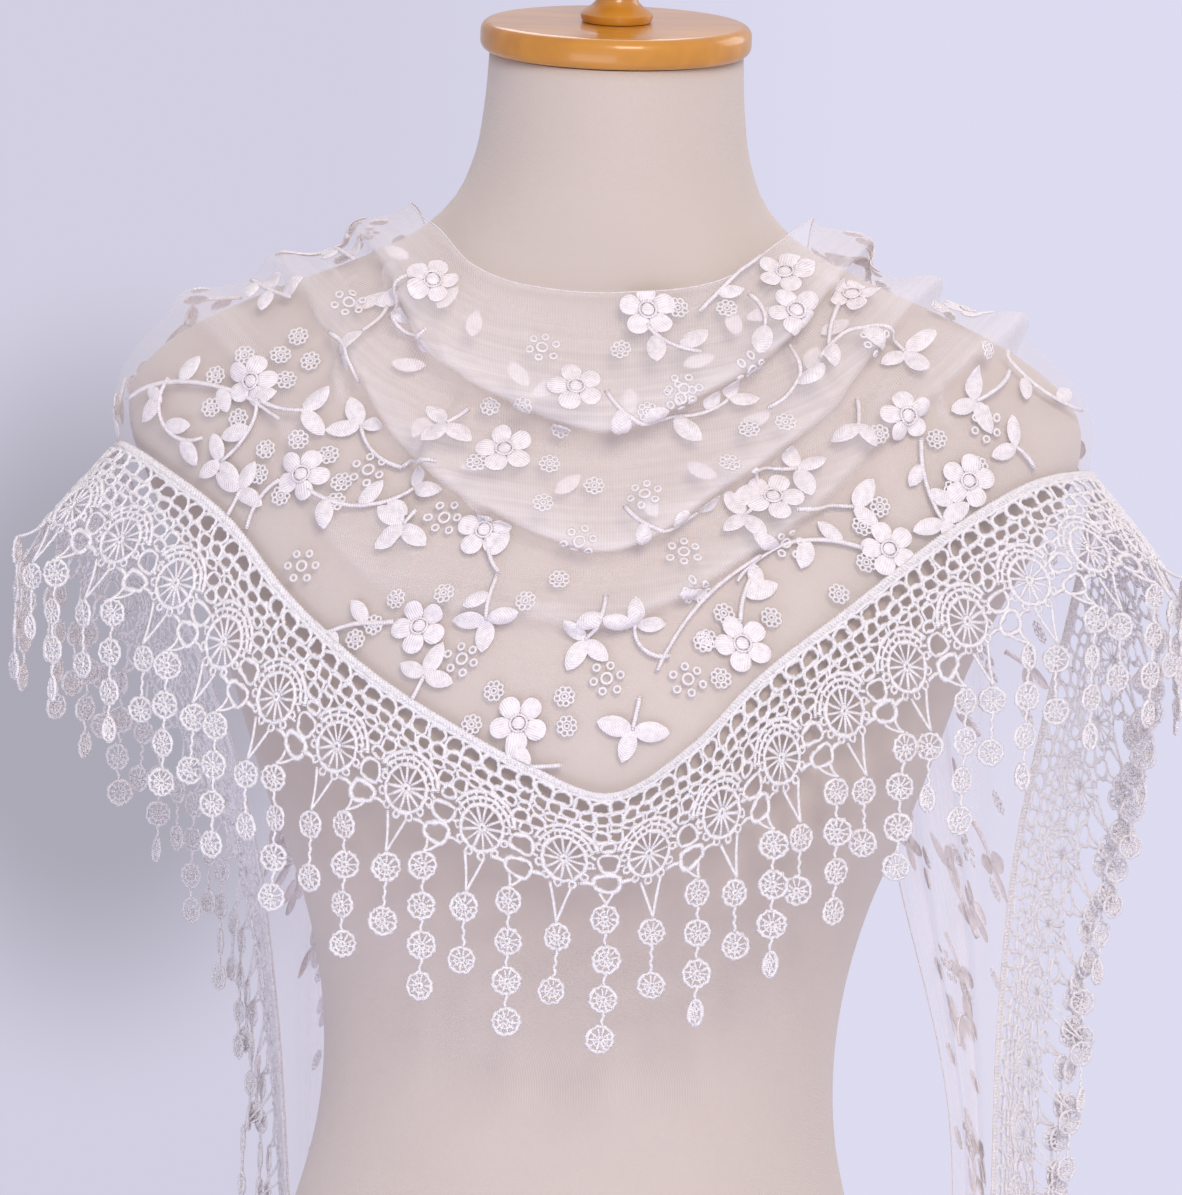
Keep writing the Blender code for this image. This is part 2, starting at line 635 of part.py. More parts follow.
def build_stand(wood):
    bottom = WAIST_Z + FORM_RINGS[0].above_waist
    round_edge = 0.004
    turned("stand_base", [(0, 0), (BASE_RADIUS - round_edge / 2, 0), (BASE_RADIUS, round_edge),
                          (BASE_RADIUS, BASE_THICKNESS - round_edge),
                          (BASE_RADIUS - round_edge, BASE_THICKNESS), (0, BASE_THICKNESS)], 28, wood)
    foot = BASE_THICKNESS + TOUCH_GAP
    turned("stand_pole", [(0, foot), (POLE_RADIUS * 1.7, foot), (POLE_RADIUS * 1.7, foot + 0.008),
                          (POLE_RADIUS, foot + 0.016), (POLE_RADIUS, bottom - TOUCH_GAP),
                          (0, bottom - TOUCH_GAP)], 12, wood)


def build_cap(wood):
    """The neck's wooden cap and its knob, both leaning forward with the neck's top."""
    lean = math.radians(CAP_LEAN_DEG)
    top = WAIST_Z + FORM_RINGS[-1].above_waist
    centre_y = (FORM_RINGS[-1].back_depth - FORM_RINGS[-1].front_depth) / 2
    edge = 0.004
    cap = turned("neck_cap", [(0, 0), (CAP_RADIUS - edge / 2, 0), (CAP_RADIUS, edge),
                              (CAP_RADIUS, CAP_THICKNESS - edge), (CAP_RADIUS - edge, CAP_THICKNESS),
                              (0, CAP_THICKNESS)], 26, wood)
    knob = turned("neck_knob", [(0, 0), (0.0145, 0), (0.0155, 0.003), (0.0095, 0.008), (0.0085, 0.013),
                                (0.0150, 0.020), (0.0185, 0.028), (0.0165, 0.037), (0.0095, 0.043),
                                (0, 0.045)], 16, wood)
    base = np.array([0.0, centre_y, top + math.tan(lean) * centre_y])
    up = np.array([0.0, -math.sin(lean), math.cos(lean)])
    for made, rise in ((cap, TOUCH_GAP), (knob, CAP_THICKNESS + 2 * TOUCH_GAP)):
        made.rotation_euler = (lean, 0, 0)
        made.location = tuple(base + up * rise)


def net_triangles(drape, columns, seam):
    """A stretch of net whose rows follow the folds' crests and whose seam row has the border's corners."""
    rows = [[(x, drape.crest_row(x, r)) for x in columns] for r in range(NET_ROWS)]
    found = []
    for low, high in zip(rows, rows[1:]):
        for a, b, c, d in zip(low, low[1:], high[1:], high):
            points = [drape.net_point(*corner)[0] for corner in (a, b, c, d)]
            if np.linalg.norm(points[0] - points[2]) < np.linalg.norm(points[1] - points[3]):
                found += [(a, b, c), (a, c, d)]
            else:
                found += [(a, b, d), (b, c, d)]
    inside = {x for x in seam if columns[0] + 0.003 < x < columns[-1] - 0.003}
    edge = sorted({columns[0], columns[-1]} | inside)
    return found + band(rows[-1], [(x, 1.0) for x in edge])


def build_net(drape, finish):
    """The net as three stretches of one cut: the front, and a tail from each shoulder."""
    cell = PITCH / CELLS_PER_REPEAT
    marks = {c * cell - CELL_BAR / 2 for c in range(-3 * REPEATS_PER_SIDE, 3 * REPEATS_PER_SIDE + 1)}
    marks |= {(FRONT_REPEATS + 0.5) * PITCH, -(FRONT_REPEATS + 0.5) * PITCH}
    seam = [drape.station(x) for x in marks]
    surface = drape.net_point
    columns = list(np.linspace(-NET_JOIN, NET_JOIN, FRONT_COLUMNS))
    wall("net_front", net_triangles(drape, columns, seam), surface, finish)
    columns = [NET_JOIN + SEAM_GAP / 0.8] + TAIL_COLUMNS
    wall("net_tail_right", net_triangles(drape, columns, seam), surface, finish)
    columns = [-x for x in reversed(columns)]
    wall("net_tail_left", net_triangles(drape, columns, seam), surface, finish)


def build_border(drape, lace):
    """The border and its fringe, each in three stretches: the front, and a tail on each side."""
    join = (FRONT_REPEATS + 0.5) * PITCH
    tip = REPEATS_PER_SIDE * PITCH
    wall("border_front", border_triangles(-join, join), drape.border_point, lace)
    right = border_triangles(join + SEAM_GAP, tip)
    wall("border_tail_right", right, drape.border_point, lace)
    wall("border_tail_left", right, lambda length, depth: drape.border_point(-length, depth), lace)
    fringe("fringe_front", drape, -join + PITCH * 0.2, join - PITCH * 0.2, 1, lace)
    fringe("fringe_tail_right", drape, join - PITCH * 0.2, tip - PITCH * 0.2, -1, lace)
    fringe("fringe_tail_left", drape, -tip + PITCH * 0.2, -join + PITCH * 0.2, -1, lace)


def main():
    for old in list(bpy.data.objects):
        bpy.data.objects.remove(old)
    jersey = material("form_jersey", (0.80, 0.71, 0.64), 0.85)
    wood = material("varnished_wood", (0.56, 0.31, 0.11), 0.3)
    net = material("net", (0.93, 0.91, 0.92), 0.8)
    lace = material("lace", (0.95, 0.93, 0.93), 0.75)
    build_form(jersey)
    build_cap(wood)
    build_stand(wood)
    drape = Drape()
    build_net(drape, net)
    build_border(drape, lace)


main()
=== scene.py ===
"""Looks of a lace veil worn as a shoulder wrap on a limbless dress form with a pole and a round base.

Metres, +Z up, the form's chest towards -Y and the floor at Z = 0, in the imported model's own frame.
The veil's surface is worked out once. The net, its embroidery, the guipure border and the fringe
are all laid on that one surface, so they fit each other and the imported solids.
"""

import sys
import logging
import math
from dataclasses import dataclass, field
from enum import Enum
from typing import Callable, Iterable, NamedTuple, Sequence

import bpy
import numpy as np
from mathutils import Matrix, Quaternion, Vector


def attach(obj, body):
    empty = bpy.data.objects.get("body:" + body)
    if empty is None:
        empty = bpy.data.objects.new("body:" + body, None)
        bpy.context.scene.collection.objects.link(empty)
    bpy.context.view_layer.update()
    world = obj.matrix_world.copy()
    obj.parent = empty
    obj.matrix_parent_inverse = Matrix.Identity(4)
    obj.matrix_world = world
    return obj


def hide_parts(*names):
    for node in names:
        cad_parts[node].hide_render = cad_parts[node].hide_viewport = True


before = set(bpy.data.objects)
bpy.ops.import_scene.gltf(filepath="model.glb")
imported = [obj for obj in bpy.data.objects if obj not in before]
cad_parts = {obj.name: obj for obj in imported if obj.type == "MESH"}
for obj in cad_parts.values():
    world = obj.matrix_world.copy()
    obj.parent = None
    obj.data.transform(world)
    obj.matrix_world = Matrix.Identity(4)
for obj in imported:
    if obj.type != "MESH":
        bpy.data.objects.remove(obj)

LOG = logging.getLogger("veil")
Array = np.ndarray
Faces = list[tuple[int, ...]]
Surface = Callable[[Array, Array], tuple[Array, Array]]
Colour = tuple[float, float, float, float]
Triple = tuple[float, float, float]
Object = bpy.types.Object
Material = bpy.types.Material
Tree = bpy.types.NodeTree
Node = bpy.types.Node
Socket = bpy.types.NodeSocket
DOWN = np.array([0.0, 0.0, -1.0])
LEVEL = np.array([1.0, 1.0, 0.0])


class Place(NamedTuple):
    """Where a fold's crest lies at one station, and how the fold stands there."""

    at: float
    across: float
    half_width: float
    height: float
    sag: float


class Sprig(NamedTuple):
    """A curved stem on the net: where it starts, which way it goes, and what it carries."""

    at: float
    reach: float
    turn: float
    length: float
    bend: float
    leaves: int
    end: str


class Strand(NamedTuple):
    """One kind of fringe strand: its lead, how far out it hangs, its rounds and their links."""

    lead: float
    reach: float
    dots: int
    link: float


# Height above the waist, half width, front depth, back depth
FORM_RINGS = (
    (-0.250, 0.158, 0.098, 0.108), (-0.200, 0.165, 0.102, 0.118), (-0.140, 0.154, 0.098, 0.112),
    (-0.070, 0.127, 0.087, 0.090), (-0.010, 0.112, 0.079, 0.078), (0.045, 0.113, 0.082, 0.078),
    (0.090, 0.124, 0.098, 0.084), (0.125, 0.138, 0.116, 0.090), (0.160, 0.150, 0.124, 0.095),
    (0.195, 0.162, 0.120, 0.099), (0.230, 0.179, 0.107, 0.100), (0.260, 0.195, 0.093, 0.098),
    (0.285, 0.204, 0.081, 0.093), (0.303, 0.202, 0.073, 0.087), (0.319, 0.188, 0.067, 0.081),
    (0.333, 0.165, 0.063, 0.076), (0.346, 0.136, 0.061, 0.072), (0.358, 0.106, 0.060, 0.067),
    (0.370, 0.083, 0.060, 0.062), (0.384, 0.068, 0.060, 0.056), (0.402, 0.0595, 0.060, 0.051),
    (0.425, 0.0555, 0.0605, 0.048), (0.450, 0.0540, 0.061, 0.046),
)
# Station along the veil, then the seam, the plain edge and the way the border hangs
STATIONS = (
    (-1.000, (-0.134, 0.130, -0.186), (-0.117, 0.133, -0.176), (-0.14, 0.87, -0.46)),
    (-0.860, (-0.141, 0.127, -0.080), (-0.110, 0.127, -0.034), (-0.16, 0.87, -0.46)),
    (-0.740, (-0.149, 0.121, 0.014), (-0.100, 0.120, 0.082), (-0.20, 0.86, -0.46)),
    (-0.640, (-0.161, 0.112, 0.094), (-0.088, 0.111, 0.186), (-0.26, 0.84, -0.47)),
    (-0.550, (-0.182, 0.100, 0.165), (-0.080, 0.098, 0.270), (-0.40, 0.70, -0.59)),
    (-0.485, (-0.202, 0.079, 0.220), (-0.078, 0.069, 0.338), (-0.54, 0.45, -0.71)),
    (-0.435, (-0.210, 0.044, 0.254), (-0.084, 0.033, 0.375), (-0.64, 0.22, -0.74)),
    (-0.395, (-0.210, 0.012, 0.270), (-0.086, -0.001, 0.382), (-0.70, 0.06, -0.71)),
    (-0.355, (-0.201, -0.018, 0.276), (-0.079, -0.026, 0.378), (-0.70, -0.01, -0.71)),
    (-0.315, (-0.180, -0.043, 0.267), (-0.069, -0.043, 0.373), (-0.64, 0.00, -0.77)),
    (-0.265, (-0.151, -0.064, 0.250), (-0.057, -0.055, 0.362), (-0.58, 0.01, -0.81)),
    (-0.210, (-0.122, -0.084, 0.221), (-0.048, -0.061, 0.357), (-0.54, 0.01, -0.84)),
    (-0.150, (-0.087, -0.106, 0.195), (-0.036, -0.064, 0.353), (-0.46, 0.02, -0.89)),
    (-0.090, (-0.049, -0.122, 0.175), (-0.022, -0.066, 0.351), (-0.34, 0.02, -0.94)),
    (-0.045, (-0.016, -0.128, 0.160), (-0.009, -0.067, 0.350), (-0.24, 0.02, -0.97)),
    (0.000, (0.018, -0.129, 0.150), (0.004, -0.067, 0.350), (0.00, 0.02, -1.00)),
    (0.045, (0.049, -0.122, 0.170), (0.016, -0.066, 0.351), (0.34, 0.02, -0.94)),
    (0.090, (0.073, -0.111, 0.196), (0.028, -0.065, 0.352), (0.44, 0.02, -0.90)),
    (0.155, (0.110, -0.090, 0.226), (0.045, -0.061, 0.355), (0.50, 0.02, -0.86)),
    (0.230, (0.153, -0.062, 0.260), (0.060, -0.054, 0.362), (0.58, 0.01, -0.81)),
    (0.275, (0.180, -0.043, 0.276), (0.070, -0.043, 0.370), (0.64, 0.00, -0.77)),
    (0.320, (0.201, -0.015, 0.281), (0.080, -0.025, 0.378), (0.68, 0.00, -0.73)),
    (0.370, (0.211, 0.018, 0.275), (0.086, 0.002, 0.382), (0.68, 0.10, -0.72)),
    (0.420, (0.210, 0.050, 0.258), (0.084, 0.034, 0.375), (0.62, 0.26, -0.74)),
    (0.480, (0.206, 0.080, 0.220), (0.080, 0.068, 0.338), (0.60, 0.42, -0.68)),
    (0.550, (0.197, 0.098, 0.168), (0.085, 0.097, 0.272), (0.62, 0.55, -0.56)),
    (0.640, (0.186, 0.106, 0.098), (0.107, 0.108, 0.190), (0.60, 0.64, -0.48)),
    (0.740, (0.182, 0.110, 0.020), (0.133, 0.111, 0.088), (0.50, 0.72, -0.47)),
    (0.860, (0.183, 0.111, -0.072), (0.162, 0.112, -0.024), (0.44, 0.76, -0.48)),
    (1.000, (0.181, 0.111, -0.176), (0.166, 0.112, -0.166), (0.42, 0.77, -0.48)),
)
# How much the border is drawn in, by the distance from the V's point
POINT_SQUEEZE = ((0.00, 0.84), (0.05, 0.95), (0.10, 1.00), (1.00, 1.00))
# The long folds across the chest, from tail to tail
FOLDS = {
    "cowl": (
        Place(-1.00, 0.30, 0.010, 0.001, 0.000), Place(-0.70, 0.26, 0.015, 0.008, 0.003),
        Place(-0.50, 0.15, 0.018, 0.007, 0.003), Place(-0.36, 0.11, 0.016, 0.009, 0.004),
        Place(-0.18, 0.17, 0.019, 0.013, 0.011), Place(0.00, 0.20, 0.023, 0.015, 0.017),
        Place(0.18, 0.17, 0.019, 0.013, 0.012), Place(0.36, 0.10, 0.015, 0.011, 0.006),
        Place(0.50, 0.15, 0.018, 0.009, 0.004), Place(0.70, 0.24, 0.015, 0.009, 0.004),
        Place(1.00, 0.30, 0.010, 0.001, 0.000),
    ),
    "second": (
        Place(-1.00, 0.65, 0.010, 0.001, 0.000), Place(-0.70, 0.62, 0.017, 0.009, 0.004),
        Place(-0.50, 0.40, 0.018, 0.009, 0.004), Place(-0.36, 0.33, 0.016, 0.007, 0.004),
        Place(-0.18, 0.42, 0.018, 0.011, 0.010), Place(0.00, 0.45, 0.021, 0.013, 0.016),
        Place(0.18, 0.42, 0.018, 0.012, 0.010), Place(0.36, 0.31, 0.014, 0.009, 0.006),
        Place(0.50, 0.39, 0.018, 0.009, 0.004), Place(0.70, 0.60, 0.017, 0.011, 0.005),
        Place(1.00, 0.65, 0.010, 0.001, 0.000),
    ),
    "third": (
        Place(-1.00, 0.82, 0.010, 0.000, 0.000), Place(-0.70, 0.80, 0.012, 0.002, 0.000),
        Place(-0.50, 0.66, 0.018, 0.007, 0.003), Place(-0.36, 0.57, 0.016, 0.005, 0.003),
        Place(-0.18, 0.78, 0.016, 0.004, 0.003), Place(0.00, 0.63, 0.016, 0.008, 0.008),
        Place(0.12, 0.66, 0.016, 0.009, 0.008), Place(0.24, 0.60, 0.015, 0.007, 0.005),
        Place(0.36, 0.54, 0.015, 0.010, 0.006), Place(0.50, 0.65, 0.018, 0.008, 0.003),
        Place(0.70, 0.80, 0.012, 0.002, 0.000), Place(1.00, 0.82, 0.010, 0.000, 0.000),
    ),
}
# Station, half length, height, start and end across the net
CREASES = (
    (-0.265, 0.020, 0.0065, 0.05, 0.72), (-0.150, 0.016, 0.0040, 0.20, 0.80),
    (0.205, 0.018, 0.0050, 0.10, 0.75), (0.300, 0.016, 0.0055, 0.15, 0.85),
)
# Fine wrinkles: station and reach where each starts and ends, half width, height
WRINKLES = (
    (-0.167, 0.090, -0.115, 0.109, 0.0060, 0.0024), (-0.115, 0.109, -0.083, 0.133, 0.0060, 0.0024),
    (-0.213, 0.031, -0.160, 0.047, 0.0045, 0.0020), (-0.160, 0.047, -0.112, 0.051, 0.0045, 0.0020),
    (-0.145, 0.010, -0.073, 0.027, 0.0050, 0.0018), (0.015, 0.110, 0.058, 0.110, 0.0040, 0.0014),
    (0.035, 0.164, 0.088, 0.151, 0.0050, 0.0018), (0.090, 0.102, 0.127, 0.097, 0.0045, 0.0018),
    (0.117, 0.047, 0.183, 0.035, 0.0050, 0.0022), (0.155, 0.075, 0.268, 0.059, 0.0055, 0.0026),
    (0.268, 0.059, 0.315, 0.060, 0.0050, 0.0022), (0.157, 0.090, 0.242, 0.076, 0.0050, 0.0024),
    (0.265, 0.092, 0.213, 0.106, 0.0050, 0.0022), (0.275, 0.006, 0.278, 0.040, 0.0045, 0.0026),
    (0.225, 0.010, 0.240, 0.034, 0.0040, 0.0020), (-0.325, 0.068, -0.297, 0.072, 0.0045, 0.0020),
    (-0.297, 0.072, -0.252, 0.095, 0.0050, 0.0022), (-0.255, 0.036, -0.155, 0.048, 0.0050, 0.0024),
    (-0.220, 0.072, -0.142, 0.097, 0.0060, 0.0024), (-0.330, 0.043, -0.318, 0.055, 0.0040, 0.0018),
    (-0.302, 0.043, -0.300, 0.022, 0.0045, 0.0024), (-0.358, 0.049, -0.307, 0.056, 0.0045, 0.0024),
    (-0.312, 0.011, -0.242, 0.019, 0.0045, 0.0024), (-0.275, 0.010, -0.262, 0.052, 0.0040, 0.0020),
    (-0.060, 0.160, -0.005, 0.172, 0.0045, 0.0014), (-0.190, 0.130, -0.130, 0.148, 0.0045, 0.0016),
    (0.290, 0.078, 0.262, 0.128, 0.0050, 0.0018), (0.060, 0.070, 0.110, 0.080, 0.0040, 0.0016),
)
# Station, reach from the plain edge, turn in degrees
FLOWERS = (
    (-0.310, 0.113, 47), (-0.240, 0.129, 96), (-0.122, 0.177, 49), (-0.260, 0.018, 55),
    (-0.093, 0.086, 43), (-0.052, 0.216, 52), (0.088, 0.187, -34), (0.245, 0.113, -7),
    (0.190, 0.159, 12), (0.292, 0.047, -55), (0.060, 0.008, 17), (0.353, 0.095, -14),
    (0.135, 0.121, -21), (0.228, 0.031, 4), (0.258, 0.013, -50), (-0.095, 0.132, 24),
    (-0.032, 0.045, 39), (0.250, 0.152, -31),
)
# Leaves at the end of a sprig, by the turn of each in radians
END_LEAVES = {"none": (), "leaf": (0.0,), "pair": (-0.75, 0.75), "trefoil": (-1.55, 0.1, 1.65)}
# Station, reach, turn in degrees, length, bend in degrees, leaves on the way and at the end
SPRIGS = (
    Sprig(-0.297, 0.116, 12, 0.021, 30, 0, "pair"), Sprig(-0.300, 0.116, -50, 0.034, -60, 1, "trefoil"),
    Sprig(-0.230, 0.133, -8, 0.047, 60, 3, "pair"), Sprig(-0.252, 0.137, -110, 0.026, 50, 1, "none"),
    Sprig(-0.140, 0.176, -175, 0.041, 50, 2, "none"), Sprig(-0.282, 0.024, -112, 0.056, 190, 3, "none"),
    Sprig(-0.287, 0.045, -65, 0.017, -20, 0, "leaf"), Sprig(-0.362, 0.161, 62, 0.086, -60, 4, "none"),
    Sprig(-0.348, 0.139, -82, 0.045, 150, 3, "none"), Sprig(-0.297, 0.072, 11, 0.032, -60, 1, "none"),
    Sprig(-0.180, 0.110, 179, 0.030, -50, 0, "trefoil"), Sprig(-0.180, 0.110, 57, 0.026, -70, 0, "none"),
    Sprig(-0.142, 0.069, -118, 0.011, 0, 0, "trefoil"),
    Sprig(-0.152, 0.126, -114, 0.008, 0, 0, "trefoil"),
    Sprig(-0.078, 0.152, -95, 0.021, 10, 1, "trefoil"), Sprig(-0.078, 0.150, 132, 0.021, -40, 1, "none"),
    Sprig(-0.002, 0.160, -94, 0.024, -40, 1, "trefoil"),
    Sprig(0.038, 0.191, 179, 0.024, -110, 0, "trefoil"), Sprig(0.113, 0.149, -154, 0.071, 35, 1, "none"),
    Sprig(0.090, 0.178, 76, 0.027, -35, 1, "none"), Sprig(0.018, 0.206, -105, 0.014, 0, 0, "trefoil"),
    Sprig(0.000, 0.046, -66, 0.065, 100, 4, "pair"), Sprig(0.015, 0.110, -62, 0.041, 90, 2, "leaf"),
    Sprig(0.125, 0.100, -63, 0.032, -95, 1, "trefoil"), Sprig(0.123, 0.101, -32, 0.024, 20, 0, "trefoil"),
    Sprig(0.230, 0.093, -122, 0.014, -20, 0, "pair"), Sprig(0.245, 0.126, -135, 0.037, 45, 2, "trefoil"),
    Sprig(0.177, 0.155, 143, 0.062, 90, 4, "none"), Sprig(0.145, 0.130, -9, 0.027, -15, 0, "pair"),
    Sprig(0.325, 0.126, -113, 0.049, 85, 2, "none"), Sprig(0.318, 0.133, -164, 0.026, -50, 0, "trefoil"),
    Sprig(0.157, 0.074, 4, 0.041, 90, 1, "none"), Sprig(0.278, 0.047, -161, 0.024, 30, 0, "leaf"),
    Sprig(0.225, 0.063, 21, 0.052, -130, 1, "trefoil"), Sprig(0.055, 0.014, -61, 0.027, 40, 2, "none"),
    Sprig(0.130, 0.011, 34, 0.039, -30, 2, "none"), Sprig(0.208, 0.011, -85, 0.019, -50, 0, "leaf"),
    Sprig(-0.392, 0.042, 5, 0.032, 0, 2, "none"), Sprig(-0.377, 0.084, 9, 0.034, 15, 4, "none"),
    Sprig(-0.265, 0.164, 101, 0.013, 0, 0, "trefoil"), Sprig(-0.115, 0.208, 75, 0.011, 0, 0, "trefoil"),
    Sprig(0.288, 0.169, 84, 0.013, 20, 0, "pair"), Sprig(-0.027, 0.233, -176, 0.013, 0, 0, "pair"),
)
# Station and reach of the openwork rounds, then of the ring clusters
EYELETS = (
    (-0.325, 0.107), (-0.312, 0.096), (-0.330, 0.123), (-0.295, 0.102), (-0.318, 0.134), (-0.300, 0.129),
    (-0.315, 0.085), (-0.295, 0.089), (-0.257, 0.118), (-0.235, 0.116), (-0.215, 0.124), (-0.210, 0.133),
    (-0.245, 0.142), (-0.265, 0.141), (-0.272, 0.131), (-0.142, 0.166), (-0.152, 0.178), (-0.160, 0.186),
    (-0.120, 0.067), (-0.080, 0.058), (-0.052, 0.090), (-0.052, 0.110), (-0.012, 0.099), (-0.112, 0.095),
    (-0.110, 0.162), (-0.055, 0.164), (-0.035, 0.152), (-0.027, 0.205), (-0.025, 0.217), (-0.078, 0.217),
    (-0.068, 0.203), (0.062, 0.186), (0.070, 0.201), (0.080, 0.174), (0.103, 0.008), (0.167, 0.013),
    (0.042, 0.058), (0.133, 0.081), (0.163, 0.083), (0.107, 0.096), (0.335, 0.085), (0.310, 0.117),
    (0.222, 0.112), (0.252, 0.130), (0.260, 0.150), (0.240, 0.151), (0.198, 0.142), (0.183, 0.146),
    (0.153, 0.171), (0.110, 0.177), (0.065, 0.185), (0.175, 0.161), (0.018, 0.025), (-0.045, 0.074),
)
CLUSTERS = (
    (-0.203, 0.115), (-0.130, 0.128), (-0.210, 0.164), (-0.307, 0.057), (-0.090, 0.190), (-0.022, 0.127),
    (0.058, 0.142), (0.048, 0.201), (-0.002, 0.198), (0.078, 0.053), (0.032, 0.105), (0.155, 0.046),
    (0.083, 0.049), (0.265, 0.073), (0.282, 0.140), (0.133, 0.146), (0.062, 0.163), (-0.075, 0.027),
)
# Cells in a row, depth, half width, half height, half the cord's width, points round a cell
CELL_ROWS = (
    (4, 0.0070, 0.0040, 0.0031, 0.00088, 20), (5, 0.0122, 0.0032, 0.0024, 0.00082, 15),
    (6, 0.0163, 0.0025, 0.0016, 0.00074, 10),
)
# Place from this valley, or below 0 from the next, and then as in the rows
VALLEY_CELLS = (
    (0.0034, 0.0204, 0.0031, 0.0026, 0.00078, 12), (-0.0034, 0.0204, 0.0031, 0.0026, 0.00078, 12),
    (0.0, 0.0248, 0.0028, 0.0020, 0.00078, 12), (0.0, 0.0315, 0.0044, 0.0035, 0.00088, 16),
    (0.0, 0.0397, 0.0046, 0.0036, 0.00088, 16),
)
KNOB_HEIGHTS = (0, 0.003, 0.008, 0.013, 0.020, 0.028, 0.037, 0.043, 0.045)
KNOB_RADII = (0.0145, 0.0155, 0.0095, 0.0085, 0.0150, 0.0185, 0.0165, 0.0095, 0.003)


def through(knots: Sequence[float], values: Sequence[float], at: Array | float) -> Array:
    """Reads a smooth curve through values.

    Args:
        knots: where the values stand, rising.
        values: one value for each knot.
        at: the places to read.

    Returns:
        The curve's value at each place.
    """
    knots = np.asarray(knots, float)
    values = np.asarray(values, float)
    at = np.clip(at, knots[0], knots[-1])
    width = np.diff(knots)
    rise = np.diff(values) / width
    slope = np.empty_like(values)
    slope[1:-1] = (rise[:-1] * width[1:] + rise[1:] * width[:-1]) / (width[:-1] + width[1:])
    slope[0], slope[-1] = rise[0], rise[-1]
    i = np.clip(np.searchsorted(knots, at, side="right") - 1, 0, len(knots) - 2)
    t = (at - knots[i]) / width[i]
    start = (2 * t**3 - 3 * t**2 + 1) * values[i] + (t**3 - 2 * t**2 + t) * width[i] * slope[i]
    end = (3 * t**2 - 2 * t**3) * values[i + 1] + (t**3 - t**2) * width[i] * slope[i + 1]
    return start + end


def unit(vectors: Array) -> Array:
    """The vectors at length one."""
    return vectors / np.maximum(np.linalg.norm(vectors, axis=-1, keepdims=True), 1e-12)


def toward(angle: float) -> Array:
    """The flat direction at an angle in radians."""
    return np.array([math.cos(angle), math.sin(angle)])


def circle(count: int) -> Array:
    """Flat directions evenly all round."""
    angles = np.arange(count) * math.tau / count
    return np.stack([np.cos(angles), np.sin(angles)], 1)


def lengths(grid: Array, axis: int = 0) -> Array:
    """Metres from the first points of a path or a grid to each of the others, along one axis."""
    steps = np.linalg.norm(np.diff(grid, axis=axis), axis=-1)
    return np.concatenate([np.zeros_like(np.take(steps, [0], axis)), np.cumsum(steps, axis=axis)], axis)


def grid_normals(points: Array) -> Array:
    """Unit normals of a grid of points, pointing away from the form."""
    return unit(np.cross(np.gradient(points, axis=1), np.gradient(points, axis=0)))


def grid_faces(rows: int, columns: int, closed: bool = False) -> Faces:
    """The faces between the rows of a grid of points.

    Args:
        rows: how many rows it has.
        columns: how many points each row has.
        closed: whether each row's last point joins its first.

    Returns:
        The point numbers of each face.
    """
    return [(r * columns + k, r * columns + (k + 1) % columns,
             (r + 1) * columns + (k + 1) % columns, (r + 1) * columns + k)
            for r in range(rows - 1) for k in range(columns if closed else columns - 1)]


def tube_faces(count: int, corners: int, capped: bool = True) -> Faces:
    """The faces of a tube of rings.

    Args:
        count: how many rings.
        corners: how many corners each has.
        capped: whether its ends are closed.

    Returns:
        The point numbers of each face.
    """
    faces = grid_faces(count, corners, closed=True)
    if capped:
        faces.append(tuple(reversed(range(corners))))
        faces.append(tuple(range((count - 1) * corners, count * corners)))
    return faces


def link_object(name: str, data: bpy.types.ID) -> Object:
    """Puts a mesh, a light or a camera into the scene.

    Args:
        name: its name.
        data: the mesh, light or camera.

    Returns:
        The new object.
    """
    made = bpy.data.objects.new(name, data)
    bpy.context.scene.collection.objects.link(made)
    return made


def add_mesh(name: str, points: Array, faces: Faces, finish: Material,
             uv: Array | None = None) -> Object:
    """Makes a smooth mesh object that moves with the model.

    Args:
        name: the piece's name.
        points: one row for each vertex.
        faces: vertex numbers of each face.
        finish: its material.
        uv: texture coordinates of each vertex, in metres.

    Returns:
        The new object.
    """
    mesh = bpy.data.meshes.new(name)
    mesh.from_pydata(np.asarray(points, float).tolist(), [], faces)
    if uv is not None:
        layer = mesh.uv_layers.new(name="UVMap")
        corner = np.zeros(len(mesh.loops), np.int32)
        mesh.loops.foreach_get("vertex_index", corner)
        layer.data.foreach_set("uv", np.asarray(uv, np.float32)[corner].ravel())
    mesh.materials.append(finish)
    mesh.shade_smooth()
    made = link_object(name, mesh)
    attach(made, "root")
    return made


